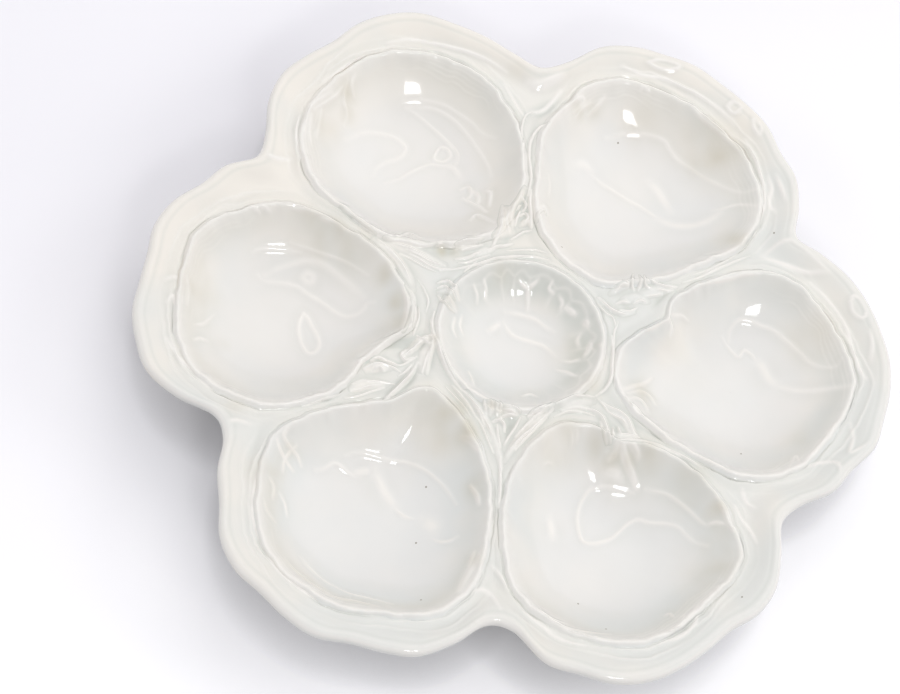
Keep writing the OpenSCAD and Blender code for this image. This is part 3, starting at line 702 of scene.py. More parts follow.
def bowl_surface(i, points, distance, angle):
    """A bowl and the outside of its lip over plan points. Inside, the drop of the bowl is rounded at the
    crest by x squared over x squared plus a constant. Outside, the lip falls by the same kind of curve.
    The lip's nicks and waves fade a few millimetres inside it."""
    away = distance + lip_radius(i, angle)
    calm = 1 - ease(-distance / CALM_REACH)
    radius = lip_radius(i, angle, calm)
    base = BASES[i]
    spread = radius - base
    spread = np.where(np.abs(spread) < 1e-4, 1e-4, spread)
    share = (np.sqrt(np.maximum(0, base ** 2 + 4 * spread * away)) - base) / (2 * spread)
    share = np.clip(share, 0, 1)
    top = lip_height(i, angle, calm)
    inside = np.maximum(0, 1 - share) * radius
    rounding = inside ** 2 / (inside ** 2 + CREST_ROUND ** 2)
    inner = top - (top - LIP_TOP + DEPTHS[i]) * bowl_drop(share, GLAZED_POWER) * rounding
    outside = np.maximum(0, distance)
    outer = top - OUTER_FALL * outside ** 2 / (outside ** 2 + OUTER_ROUND)
    return np.where(distance < 0, inner, outer)


def top_surface(points):
    """The highest surface over plan points: bowls inside the lips, elsewhere the web or a lip's outside."""
    distances, angles = beside_lips(points)
    height = web_surface(points)
    for i in range(LOBES + 1):
        bowl = bowl_surface(i, points, distances[i], angles[i])
        near = distances[i] < SKIRT
        height = np.where(distances[i] < 0, bowl, np.where(near, np.maximum(height, bowl), height))
    return height


def camera_axes():
    """Right, up and backward directions of the camera in the plate's frame."""
    e, a, r = (math.radians(v) for v in (CAMERA_ELEVATION, CAMERA_AZIMUTH, CAMERA_ROLL))
    back = np.array([math.sin(a) * math.cos(e), -math.cos(a) * math.cos(e), math.sin(e)])
    level = np.array([math.cos(a), math.sin(a), 0.0])
    rise = np.cross(back, level)
    right = math.cos(r) * level + math.sin(r) * rise
    up = math.cos(r) * rise - math.sin(r) * level
    return right, up, back


RIGHT, UP, BACK = camera_axes()
CAMERA_PLACE = CAMERA_TARGET + CAMERA_DISTANCE * BACK


def seat(pixels):
    """Plan points where the camera's rays through pixels meet the top surface: the first of many levels,
    from above, at which the ray lies below the surface."""
    rays = (-BACK + np.outer((pixels[:, 0] - FRAME_WIDTH / 2) / FOCAL_PIXELS, RIGHT)
            - np.outer((pixels[:, 1] - FRAME_HEIGHT / 2) / FOCAL_PIXELS, UP))
    levels = np.linspace(RIM_TOP, FOOT_HEIGHT, SEAT_LEVELS)
    steps = (levels[None, :] - CAMERA_PLACE[2]) / rays[:, 2:3]
    places = CAMERA_PLACE[None, None, :2] + steps[..., None] * rays[:, None, :2]
    below = levels[None, :] <= top_surface(places)
    first = np.argmax(below, axis=1)
    return places[np.arange(len(pixels)), first]


def smooth_path(places, steps=6):
    """A curve through places: between each two of them a Catmull-Rom cubic, in a few steps."""
    padded = np.vstack([2 * places[0] - places[1], places, 2 * places[-1] - places[-2]])
    t = np.linspace(0, 1, steps, endpoint=False)[None, :, None]
    a, b, c, d = (padded[k:len(padded) - 3 + k, None, :] for k in range(4))
    curve = b + t / 2 * (c - a + t * (2 * a - 5 * b + 4 * c - d + t * (3 * (b - c) + d - a)))
    return np.vstack([curve.reshape(-1, 2), places[-1:]])


class Stroke:
    """A ridge along a path that was read off the photograph."""

    def __init__(self, rise, width, run):
        pixels = np.reshape(run, (-1, 2))
        self.rise = rise
        self.width = width
        self.path = smooth_path(seat(pixels))
        share = np.linspace(0, 1, len(self.path))
        self.taper = np.sqrt(np.sin(math.pi * np.clip(share, 0.04, 0.96)))
        if (pixels[0] == pixels[-1]).all():
            self.taper = np.ones(len(share))

    def over(self, points, spread=1.0):
        """Height that the ridge adds over plan points: a bell across the path, lower towards its ends,
        and wider by a spread."""
        width = self.width * spread
        reach = BELL_REACH * width
        low, high = self.path.min(0) - reach, self.path.max(0) + reach
        added = np.zeros(len(points))
        near = np.flatnonzero(np.all((points > low) & (points < high), axis=1))
        if not len(near):
            return added
        start, step = self.path[:-1], np.diff(self.path, axis=0)
        square = np.maximum((step ** 2).sum(1), 1e-9)
        away = points[near][:, None, :] - start[None]
        t = np.clip((away * step[None]).sum(2) / square[None], 0, 1)
        gap = np.sqrt(((away - t[..., None] * step[None]) ** 2).sum(2))
        closest = gap.argmin(1)
        rows = np.arange(len(near))
        height = mix(self.taper[:-1][closest], self.taper[1:][closest], t[rows, closest])
        added[near] = self.rise * height * bell(gap[rows, closest] / width)
        return added


def strokes_of(groups):
    """The strokes of a set, one for each run of pixels."""
    return [Stroke(*size, run) for size, runs in groups.items() for run in runs]


def shell_of(stroke):
    """The shell that a stroke belongs to: the one whose lip it lies deepest inside on average."""
    distances, _ = beside_lips(stroke.path)
    return distances[:LOBES].mean(1).argmin()


def relief(strokes, points, spread=1.0):
    """Height that a set of strokes adds: the highest of them at each point."""
    flat = points.reshape(-1, 2)
    total = np.zeros(len(flat))
    for stroke in strokes:
        total = np.maximum(total, stroke.over(flat, spread))
    return total.reshape(points.shape[:-1])


def flanks(strokes, points, wide, narrow):
    """Where glaze pools and shade is painted beside strokes: their relief at a wide spread less that at a
    narrow one.
    """
    return np.clip(relief(strokes, points, wide) - relief(strokes, points, narrow), 0, 1)


def dent_depth(points):
    """Depth of the dents in the web, outside the lips."""
    return ease((beside_lips(points)[0].min(0) - 0.6) / 0.8) * relief(dents, points)


def stain_over(points):
    """Strength of the stains and painted shade over plan points: the strongest of their bells, made uneven by
    a ripple.
    """
    total = np.zeros(points.shape[:-1])
    for (strength, radius, *_), spot in zip(STAINS_AND_SHADE, stain_spots):
        blot = bell(length_of(points - spot) / radius / STAIN_AND_SHADE_SPREAD)
        total = np.maximum(total, STAIN_AND_SHADE_SHARE * strength * blot)
    return np.clip(total * (0.9 + 0.3 * ripple(points, STAIN_AND_SHADE_WAVE, STAIN_AND_SHADE_SEED)), 0, 1)


# The plate's outline isn't quite even, so it is centred on its own box
outline_angles = np.arange(0, 360, LOBE_ANGLE / 24)
outline = polar(rim_radius(outline_angles), outline_angles)
PLATE_SHIFT = np.append(-(outline.max(0) + outline.min(0)) / 2, 0.0)


# How far the glaze is thin over a crest, with painted highlights; pooled, with painted shade; stained, with
# painted shade; or on the floor of a bowl
GLAZE_VALUES = ("crest", "pool", "stain", "deep")


class Shape:
    """Points and faces of a piece, in millimetres in the plate's own frame, with values per point."""

    def __init__(self):
        self.points = []
        self.quads = []
        self.values = {}
        self.count = 0

    def add(self, points, **values):
        """Adds a grid of points and gives the grid of their numbers."""
        flat = points.reshape(-1, 3)
        numbers = np.arange(self.count, self.count + len(flat)).reshape(points.shape[:-1])
        self.points.append(flat)
        self.count += len(flat)
        for name in GLAZE_VALUES:
            value = np.broadcast_to(values.get(name, 0.0), points.shape[:-1])
            self.values.setdefault(name, []).append(np.clip(value, 0, 1).ravel())
        return numbers

    def skin(self, numbers):
        """Quads between neighbouring rows of numbers and neighbouring columns."""
        a, b, c, d = numbers[:-1, :-1], numbers[:-1, 1:], numbers[1:, 1:], numbers[1:, :-1]
        self.quads.append(np.stack([a, b, c, d], -1).reshape(-1, 4))

    def fan(self, ring, tip):
        """Triangles from a ring to its tip, as quads whose last two corners are the same."""
        tips = np.full(len(ring) - 1, tip)
        self.quads.append(np.stack([ring[:-1], ring[1:], tips, tips], -1))

    def build(self, name):
        """The mesh object: equal points are joined and its faces are turned outwards."""
        points = np.vstack(self.points)
        quads = np.vstack(self.quads)
        _, first, same = np.unique(np.round(points, 5), axis=0, return_index=True, return_inverse=True)
        same = same.ravel()
        points = points[first]
        quads = same[quads]
        p = points[quads]
        volume = np.einsum("ij,ij->i", p[:, 0], np.cross(p[:, 1], p[:, 2]) + np.cross(p[:, 2], p[:, 3])).sum()
        if volume < 0:
            quads = quads[:, ::-1]
        faces = [list(dict.fromkeys(quad)) for quad in quads.tolist()]
        faces = [face for face in faces if len(face) > 2]
        mesh = bpy.data.meshes.new(name)
        mesh.from_pydata(((points + PLATE_SHIFT) * MM).tolist(), [], faces)
        mesh.polygons.foreach_set("use_smooth", np.ones(len(mesh.polygons), bool))
        for key, parts in self.values.items():
            mesh.attributes.new(key, "FLOAT", "POINT").data.foreach_set("value", np.concatenate(parts)[first])
        mesh.update()
        piece = bpy.data.objects.new(name, mesh)
        bpy.context.scene.collection.objects.link(piece)
        return piece


def closed(grid):
    """A grid whose last column repeats its first."""
    return np.concatenate([grid, grid[:, :1]], axis=1)


def upright(plan, height):
    """Plan points with a height each."""
    return np.concatenate([plan, np.broadcast_to(height, plan.shape[:-1])[..., None]], -1)


def well(i, strokes, columns, rings):
    """A shell or the cup as one closed skin, in rings from the middle of its underside, up its outside,
    over the lip and down to the middle of the bowl. Ring k of n inside lies at the share one less a power
    of k / n, so the rings crowd towards the lip."""
    centre = centre_of(i)
    base = BASES[i]
    floor_z = LIP_TOP - DEPTHS[i]
    bottom = floor_z - BOWL_WALL
    angle = np.linspace(0, 360, columns, endpoint=False)[None, :]
    radius = lip_radius(i, angle)
    shape = Shape()

    share = np.linspace(0, 1, OUTSIDE_RINGS + 1)[1:, None]
    under = centre + polar(share * mix(base, radius, share) + LIP_HALF * share, angle)
    # Painted shade: the shell's underside is darker
    low = shape.add(upright(under, mix(bottom, WEB_BOTTOM, bowl_rise(share))), pool=WELL_UNDER_SHADE)

    wall = np.linspace(SKIRT, 0, LIP_ROWS)[:, None]
    lip = centre + polar(radius + wall, angle)
    lip_z = bowl_surface(i, lip, wall + 0 * angle, angle + 0 * wall)
    # Pooled glaze and painted shade on the lip's outside, down in its crease
    outer = shape.add(upright(lip, lip_z), crest=OUTSIDE_THIN * bell(wall / OUTSIDE_REACH),
                      pool=ease((wall - 1.0) / 0.5) * (LIP_POOL_AND_SHADE[0] + LIP_POOL_AND_SHADE[1] * patches(i, angle)),
                      stain=stain_over(lip))

    share = 1 - (np.linspace(0, 1, rings + 1)[1:-1, None]) ** BOWL_CROWDING
    plan = centre + polar(share * mix(base, radius, share), angle)
    inside = (1 - share) * radius
    away = length_of(plan - centre)
    distance = away - radius
    smooth_inside = lip_radius(i, angle, 0.0) - away
    height = bowl_surface(i, plan, np.minimum(distance, -1e-6), angle + 0 * share)
    if i == CUP:
        turn = angle - 8 + 5 * np.sin(np.radians(3 * angle) + 1) + 3 * np.sin(np.radians(7 * angle))
        petal = np.abs(np.sin(np.radians(FLUTES / 2 * turn)))
        side = 0.25 + 0.75 * ease((np.cos(np.radians(angle - PETAL_SIDE)) + 0.35) / 0.8)
        band = side * ease((share - PETAL_START) / 0.12) * ease((PETAL_END - share) / 0.05)
        arc = side * bell((share - ARC_PLACE - ARC_SWAY * petal) / ARC_WIDTH)
        height = height + FLUTE_DEPTH * (PETAL_SHARE * band * bell(petal / PETAL_WIDTH) + ARC_SHARE * arc)
        ridges = PETAL_THIN * np.maximum(band * bell(petal / 0.4), arc)
        # Painted shade on one side of the cup's upper wall
        shade = CUP_SHADE * side * ease((share - 0.55) / 0.25)
        stain = 0
    else:
        side = outward(i, angle)
        wander = 0.5 * np.sin(np.radians(6 * angle)) + 0.3 * np.sin(np.radians(17 * angle) + i)
        ridges = 0
        for k, place in enumerate(LAMELLA_PLACES):
            line = bell((inside - place - wander * (k + 1) / 3) / LAMELLA_WIDTH)
            patch = np.sin(np.radians(3 * angle) + 2 * i) + 0.6 * np.sin(np.radians(8 * angle) + 2 * k)
            ridges = ridges + line * side * ease(0.4 + 0.6 * patch)
        height = height + LAMELLA_RISE * ridges
        ridges = RIDGE_THIN * ridges
        # Painted shade: the wall darkens towards the lip on the side turned from the light, and a little on
        # the outward side
        far_side = ease((np.cos(np.radians(angle - SHADE_SIDE)) + 0.3) / 0.9)
        shade = (NEAR_SHADE * side + FAR_SHADE * far_side) * ease(1 - smooth_inside / 12)
        stain = TAN_SHARES[i] * side * bell((smooth_inside - 4) / 3)
    near_lip = EDGE_THIN * bell(inside / EDGE_REACH)
    # Painted light: the lip's inside is paler on the near side, which faces the lamps at the back
    near_lip = near_lip + INSIDE_HIGHLIGHT * bell(inside / INSIDE_REACH) * facing_back(angle)
    inner = ease(smooth_inside / FLOOR_START)
    height = height + FLOOR_RIPPLE * inner * ripple(plan, FLOOR_WAVE, FLOOR_SEED + i)
    folds = FOLD_GAIN * relief(strokes, plan)
    # Beside folds, pooled glaze and painted shade; on them, thin glaze and painted highlights
    bowl = shape.add(upright(plan, height + folds), crest=near_lip + ridges + FOLD_THIN_AND_HIGHLIGHT * folds,
                     pool=shade + FOLD_POOL_AND_SHADE * flanks(strokes, plan, *FOLD_SPREADS),
                     stain=np.maximum(stain, stain_over(plan)),
                     deep=ease((smooth_inside - FLOOR_START) / FLOOR_SPAN))

    shape.skin(closed(np.vstack([low, outer, bowl])))
    tips = np.array([[*centre, bottom], [*centre, floor_z]])
    under_tip, bowl_tip = shape.add(tips, deep=np.array([0.0, 1.0]))
    shape.fan(closed(low)[0][::-1], under_tip)
    shape.fan(closed(bowl)[-1], bowl_tip)
    return shape


def cup_edge(angle):
    """Distance of the cup's opening from the plate's middle."""
    off = np.radians(angle - CUP_SHIFT_ANGLE)
    return CUP_SHIFT * np.cos(off) + np.sqrt(CUP_OPENING ** 2 - (CUP_SHIFT * np.sin(off)) ** 2)


def tray():
    """The web, flange and rim, as six cells. Each cell's columns run from the opening of its shell to a
    border of rim, side, cup and side, and its rows lie closer together near the lip. The rim's edge is
    half an ellipse, and the underside follows the smooth web one wall lower. Glaze pools round the tufts and
    in creases, with painted shade there, on the underside and below the rim's edge, and a highlight is
    painted along the rim's edge."""
    shape = Shape()
    row = np.linspace(0, 1, TRAY_RINGS + 1)[:, None] ** CROWDING
    under_row = np.linspace(1, 0, TRAY_UNDER_RINGS + 1)[:, None]
    tilt = np.radians(np.linspace(90, -90, RIM_EDGE_STEPS + 1)[1:-1])[:, None]
    # Painted highlight: a pale line along the outer face of the rim's edge
    edge_highlight = RIM_HIGHLIGHT * bell((tilt - RIM_LINE) / RIM_LINE_WIDTH)

    def side_points(k, t):
        a = k * LOBE_ANGLE + LOBE_ANGLE / 2
        return polar(mix(rim_radius(a) - RIM_ROUND, cup_edge(a) - SEAM, t), a)

    for i in range(LOBES):
        start = (i - 0.5) * LOBE_ANGLE
        rim_angle = start + LOBE_ANGLE * np.linspace(0, 1, TRAY_RIM_COLUMNS + 1)
        rim = polar(rim_radius(rim_angle) - RIM_ROUND, rim_angle)
        t = np.linspace(0, 1, TRAY_SIDE_COLUMNS + 1)
        cup_angle = start + LOBE_ANGLE * np.linspace(1, 0, TRAY_CUP_COLUMNS + 1)
        cup = polar(cup_edge(cup_angle) - SEAM, cup_angle)
        border = np.vstack([rim[:-1], side_points(i, t)[:-1], cup[:-1], side_points(i - 1, 1 - t)])
        a = angle_of(border - centre_of(i))
        opening = centre_of(i) + polar(lip_radius(i, a) + LIP_HALF - SEAM, a)
        plan = mix(opening[None], border[None], row[..., None])
        distances, angles = beside_lips(plan)
        gap = distances.min(0)
        inward = inward_of(plan)
        folds = FLANGE_FOLD_GAIN * relief(flange_folds, plan) * ease(inward / 1.5)
        sunk = dent_depth(plan)
        top = upright(plan, np.minimum(web_surface(plan) + folds - sunk, RIM_TOP - 0.02))
        line = contours(i, distances[i], angles[i]) * outward(i, angles[i])
        junction = ease(1.4 - np.sort(distances, axis=0)[:3].sum(0) / JUNCTION_REACH)
        creased = CREASE_POOL_AND_SHADE[0] + CREASE_POOL_AND_SHADE[1] * patches(i, angles[i])
        halo = np.clip(TUFT_POOL_AND_SHADE * relief(sum(tufts, []), plan, TUFT_HALO), 0, TUFT_POOL_AND_SHADE_MOST)
        # Pooled glaze and painted shade in the crease, the web, the junctions, round the tufts, in dents,
        # beside folds and in the groove
        pool = bell((gap - CREASE_PLACE) / 0.6) * creased + WEB_POOL * bell((gap - 4) / 2)
        pool = pool + JUNCTION_POOL_AND_SHADE * junction + halo + DENT_POOL_AND_SHADE * sunk
        pool = pool + FLANGE_FOLD_POOL_AND_SHADE * flanks(flange_folds, plan, *FLANGE_FOLD_SPREADS)
        pool = pool + GROOVE_POOL_AND_SHADE * bell((inward - GROOVE_PLACE) / GROOVE_WIDTH)
        # Thin glaze and painted highlights on the contours and flange folds
        crest = CONTOUR_THIN * line + FLANGE_FOLD_THIN_AND_HIGHLIGHT * folds
        # Thin glaze and a painted highlight where the rim's round edge starts
        crest = crest + RIM_EDGE_THIN_AND_HIGHLIGHT * bell(inward / RIM_EDGE_REACH)
        upper = shape.add(top, crest=crest, pool=pool, stain=stain_over(plan))
        under_plan = mix(opening[None], border[None], under_row[..., None])
        # Painted shade: the tray's underside is darker
        under = shape.add(upright(under_plan, web_height(under_plan) - WEB_WALL), pool=TRAY_UNDER_SHADE)
        shape.skin(upper)
        shape.skin(under)
        shape.skin(np.vstack([under[-1:], upper[:1]]))
        first = TRAY_RIM_COLUMNS + TRAY_SIDE_COLUMNS
        cup_side = slice(first, first + TRAY_CUP_COLUMNS + 1)
        shape.skin(np.vstack([upper[-1:, cup_side], under[:1, cup_side]]))
        rim_side = slice(0, TRAY_RIM_COLUMNS + 1)
        edge_plan = rim[None] + (rim / length_of(rim)[:, None])[None] * (RIM_ROUND * np.cos(tilt))[..., None]
        middle = web_height(rim) - WEB_WALL / 2
        # Painted shade on the lower half of the rim's edge
        edge = shape.add(upright(edge_plan, middle[None] + WEB_WALL / 2 * np.sin(tilt)),
                         crest=edge_highlight, pool=RIM_EDGE_SHADE * np.clip(0.4 - np.sin(tilt), 0, 1))
        shape.skin(np.vstack([upper[-1:, rim_side], edge, under[:1, rim_side]]))
    return shape


def sprig(strokes):
    """A tuft as a closed solid: a fine grid over its strokes, kept where they stand clear of the carrier.
    Its top is the carrier's height plus the relief, sunk a little, and its foot lies below the carrier."""
    paths = np.vstack([stroke.path for stroke in strokes])
    low, high = paths.min(0) - 2, paths.max(0) + 2
    x, y = np.meshgrid(np.arange(low[0], high[0], SPRIG_STEP), np.arange(low[1], high[1], SPRIG_STEP))
    plan = np.stack([x, y], -1)
    broad = relief([stroke for stroke in strokes if stroke.width >= FINE_WIDTH], plan)
    fine = relief([stroke for stroke in strokes if stroke.width < FINE_WIDTH], plan)
    broad = broad * (1 + SPRIG_RIPPLE * ripple(plan, SPRIG_WAVE, SPRIG_SEED))
    added = BROAD_GAIN * broad + FINE_GAIN * fine
    kept = added > SPRIG_SINK / 2
    cell = kept[:-1, :-1] | kept[1:, :-1] | kept[:-1, 1:] | kept[1:, 1:]
    carrier = top_surface(plan) - dent_depth(plan)
    shape = Shape()
    # Thin glaze and painted highlights on the strokes
    crest = np.clip(BROAD_THIN * broad + FINE_THIN_AND_HIGHLIGHT * fine, 0, 1)
    # Pooled glaze and painted shade in the hollows between strokes and in the dents
    hollow = np.maximum(HOLLOW_POOL_AND_SHADE * (1 - ease(added / 0.5)), relief(dents, plan))
    top = shape.add(upright(plan, carrier + added - SPRIG_SINK), crest=crest,
                    pool=hollow * (1 - crest), stain=stain_over(plan))
    foot = shape.add(upright(plan, carrier - SPRIG_ROOT))
    lower, upper = slice(None, -1), slice(1, None)
    corners = [(lower, lower), (lower, upper), (upper, upper), (upper, lower)]
    shape.quads.append(np.stack([top[c][cell] for c in corners], -1))
    shape.quads.append(np.stack([foot[c][cell] for c in reversed(corners)], -1))
    rows, columns = cell.shape
    padded = np.pad(cell, 1)
    for k, (down, right) in enumerate([(0, 1), (1, 2), (2, 1), (1, 0)]):
        bare = cell & ~padded[down:down + rows, right:right + columns]
        a, b = corners[k], corners[(k + 1) % 4]
        shape.quads.append(np.stack([foot[a][bare], foot[b][bare], top[b][bare], top[a][bare]], -1))
    return shape


def foot():
    """The foot ring: a closed profile turned about the plate's middle. Its edges on the table are quarter
    circles."""
    quarter = np.radians(np.linspace(0, 90, 7))
    less_cosine = FOOT_ROUND * (1 - np.cos(quarter))
    less_sine = FOOT_ROUND * (1 - np.sin(quarter))
    inner, outer = FOOT_RADIUS - FOOT_WIDTH / 2, FOOT_RADIUS + FOOT_WIDTH / 2
    inner_edge = np.stack([inner + less_cosine, less_sine], -1)
    outer_edge = np.stack([outer - less_sine, less_cosine], -1)
    sides = np.linspace(FOOT_HEIGHT, FOOT_ROUND, 8)[:-1]
    inner_side = np.stack([inner + 0 * sides, sides], -1)
    outer_side = np.stack([outer + 0 * sides, sides], -1)[::-1]
    profile = np.vstack([inner_side, inner_edge, outer_edge, outer_side, inner_side[:1]])
    angle = np.linspace(0, 360, FOOT_COLUMNS, endpoint=False)[None, :]
    plan = polar(profile[:, :1] + 0 * angle, angle)
    shape = Shape()
    grid = shape.add(upright(plan, profile[:, 1:] + 0 * angle), pool=FOOT_POOL)
    shape.skin(closed(grid))
    return shape


# Materials

class Value:
    """A shader socket in Python expressions: each operator adds a Math node."""

    def __init__(self, shader, socket):
        self.shader = shader
        self.socket = socket

    def math(self, operation, *inputs):
        """A Math node of one operation on the given values or links."""
        node = self.shader.node("ShaderNodeMath", {"operation": operation}, dict(enumerate(inputs)))
        return Value(self.shader, node.outputs[0])

    def __add__(self, other):
        return self.math("ADD", self, other)

    def __sub__(self, other):
        return self.math("SUBTRACT", self, other)

    def __rsub__(self, other):
        return self.math("SUBTRACT", other, self)

    def __mul__(self, other):
        return self.math("MULTIPLY", self, other)

    __radd__ = __add__
    __rmul__ = __mul__

    def below(self, other):
        """One where this value is less than the other."""
        return self.math("LESS_THAN", self, other)

    def clamped(self):
        """The value held between 0 and 1."""
        return self.math("MINIMUM", self.math("MAXIMUM", self, 0.0), 1.0)


class Shader:
    """The node tree of a material or the world."""

    def __init__(self, owner):
        owner.use_nodes = True
        self.tree = owner.node_tree
        self.tree.nodes.clear()

    def node(self, kind, settings=None, inputs=None):
        """Adds a node of a kind: its settings first, then the values or links of its sockets."""
        node = self.tree.nodes.new(kind)
        for key, value in (settings or {}).items():
            setattr(node, key, value)
        for key, value in (inputs or {}).items():
            if isinstance(value, Value):
                self.tree.links.new(value.socket, node.inputs[key])
            elif isinstance(value, bpy.types.Node):
                self.tree.links.new(value.outputs[0], node.inputs[key])
            else:
                node.inputs[key].default_value = value
        return node

    def value(self, kind, output, settings=None, inputs=None):
        """One output of a new node, ready for expressions."""
        return Value(self, self.node(kind, settings, inputs).outputs[output])

    def attribute(self, name):
        """A value that the mesh holds at each point."""
        return self.value("ShaderNodeAttribute", "Fac", {"attribute_name": name})

    def place(self):
        """Object coordinates, which are in metres."""
        return self.value("ShaderNodeTexCoord", "Object")

    def axis(self, name):
        """One of the object coordinates."""
        return self.value("ShaderNodeSeparateXYZ", name, None, {"Vector": self.place()})

    def noise(self, scale, detail):
        """Noise on object coordinates."""
        return self.value("ShaderNodeTexNoise", "Fac", None,
                          {"Vector": self.place(), "Scale": scale, "Detail": detail, "Roughness": 0.5})

    def colours(self, a, b, factor):
        """Mix of two colours by a factor."""
        return self.value("ShaderNodeMix", 2, {"data_type": "RGBA"}, {"Factor": factor, 6: a, 7: b})

    def seen(self):
        """One where the camera sees a thing, plainly or by a mirror, and zero where it lights others."""
        path = self.node("ShaderNodeLightPath")
        rays = [Value(self, path.outputs[f"Is {kind} Ray"]) for kind in ("Camera", "Glossy", "Transmission")]
        return (rays[0] + rays[1] + rays[2]).clamped()

    def porcelain(self, colour, rough, grain, strength, depth, coat):
        """Ends the tree with a porcelain surface. A grain roughens it, to a depth in metres."""
        bump = self.value("ShaderNodeBump", "Normal", None,
                          {"Strength": strength, "Distance": depth, "Height": grain})
        surface = self.node("ShaderNodeBsdfPrincipled", None, {
            "Base Color": colour, "Roughness": rough, "Normal": bump, "IOR": PORCELAIN_IOR,
            "Coat Weight": coat, "Coat Roughness": COAT_ROUGHNESS})
        self.node("ShaderNodeOutputMaterial", None, {0: surface})


def glaze(name, body, pool, specks=()):
    """Clear glaze over white porcelain: greener where it pools and where shade is painted, warmer and paler
    where it runs thin over crests and where highlights are painted, brown where it is stained and where shade
    is painted, faintly mottled, with a fine peel and, on some pieces, fired specks."""
    material = bpy.data.materials.new(name)
    shader = Shader(material)
    cloud = shader.noise(28.0, 4.0)
    fine = shader.noise(210.0, 3.0)
    pooled = (shader.attribute("pool") + (cloud - 0.5) * 0.5).clamped()
    thin_and_highlight = (shader.attribute("crest") * (0.75 + 0.5 * fine)).clamped()
    stained = (shader.attribute("stain") * (0.7 + 0.6 * fine)).clamped()
    blush = (shader.noise(34.0, 2.0) - 0.5) * 3.0 + 0.5
    blush = (blush - shader.axis("X") * COOL_SIDE[0] - shader.axis("Y") * COOL_SIDE[1]).clamped()
    cool, warm = (tuple(b * t for b, t in zip(body, tint)) for tint in (COOL, WARMER))
    body = shader.colours(cool, warm, blush)
    colour = shader.colours(body, FLOOR_TINT, shader.attribute("deep") * 0.6)
    colour = shader.colours(colour, pool, pooled)
    colour = shader.colours(colour, CREST, thin_and_highlight)
    colour = shader.colours(colour, STAIN_AND_SHADE, stained)
    if len(specks):
        mask = 0.0
        for speck in specks:
            gap = shader.value("ShaderNodeVectorMath", "Value", {"operation": "DISTANCE"},
                               {0: shader.place(), 1: tuple(speck)})
            mask = gap.below(SPECK_RADIUS * MM) + mask
        colour = shader.colours(colour, SPECK, mask.clamped() * 0.75)
    rough = GLAZE_ROUGHNESS + 0.05 * fine
    peel = shader.noise(PEEL_SCALE, 2.0)
    shader.porcelain(colour, rough, peel, PEEL_STRENGTH, PEEL_DEPTH * MM, GLAZE_COAT)
    return material


def bisque(name, body, bare):
    """The foot: glazed on its sides and bare, matt porcelain where it stands."""
    material = bpy.data.materials.new(name)
    shader = Shader(material)
    ragged = shader.axis("Z") + (shader.noise(300.0, 3.0) - 0.5) * 0.0008
    wiped = ragged.below(WIPED_HEIGHT * MM)
    grain = shader.noise(900.0, 4.0)
    colour = shader.colours(body, bare, (wiped * (0.8 + 0.4 * grain)).clamped())
    shader.porcelain(colour, 0.08 + 0.6 * wiped, grain * wiped, 0.4, 0.03 * MM, 0.0)
    return material


# Pieces

shell_folds = strokes_of(SHELL_FOLDS)
cup_folds = strokes_of(CUP_FOLDS)
tufts = [strokes_of(groups) for groups in SPRIG_STROKES]
flange_folds = strokes_of(FLANGE_FOLDS)
dents = strokes_of(DENTS)
stain_spots = seat(np.array(STAINS_AND_SHADE)[:, 2:])
speck_plan = seat(np.array(SPECK_PIXELS))
specks = (upright(speck_plan, top_surface(speck_plan)) + PLATE_SHIFT) * MM

# Colours of the glaze: its body on each kind of piece, then where it pools and shade is painted, where it
# thins and highlights are painted, and where it is stained and shade is painted
WHITE = (0.825, 0.815, 0.79, 1)
TRAY_WHITE = (0.838, 0.82, 0.78, 1)
SPRIG_WHITE = (0.84, 0.825, 0.785, 1)
BARE_CLAY = (0.74, 0.70, 0.63, 1)
POOL_AND_SHADE = (0.65, 0.665, 0.625, 1)
OLIVE = (0.63, 0.635, 0.575, 1)
SPRIG_POOL_AND_SHADE = (0.62, 0.63, 0.59, 1)
CREST = (0.89, 0.865, 0.83, 1)
STAIN_AND_SHADE = (0.60, 0.55, 0.43, 1)
SPECK = (0.25, 0.21, 0.15, 1)
FLOOR_TINT = (0.825, 0.815, 0.805, 1)
# How the glaze takes the light, and its peel: noise per metre, strength and a depth in millimetres
PORCELAIN_IOR = 1.52
COAT_ROUGHNESS = 0.03
GLAZE_COAT = 0.3
GLAZE_ROUGHNESS = 0.06
PEEL_SCALE = 420.0
PEEL_STRENGTH = 0.25
PEEL_DEPTH = 0.015
WIPED_HEIGHT = 1.1
# Tints of the body, cool or warm by turns, and how fast they change along the plate's X and Y, per metre
COOL = (0.925, 0.95, 0.965, 1)
WARMER = (1.03, 1.005, 0.98, 1)
COOL_SIDE = (2.6, -3.4)

tray_glaze = glaze("tray glaze", TRAY_WHITE, POOL_AND_SHADE, specks)
shell_glaze = glaze("shell glaze", WHITE, OLIVE, specks)
cup_glaze = glaze("cup glaze", WHITE, POOL_AND_SHADE)
sprig_glaze = glaze("sprig glaze", SPRIG_WHITE, SPRIG_POOL_AND_SHADE)
foot_glaze = bisque("foot glaze", WHITE, BARE_CLAY)


def dress(shape, name, material, node):
    """Makes a piece of a shape, which stands for a node and takes its finish from a slot."""
    piece = shape.build(name)
    piece.data.materials.append(material)
    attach(piece, "root")
    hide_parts(node)


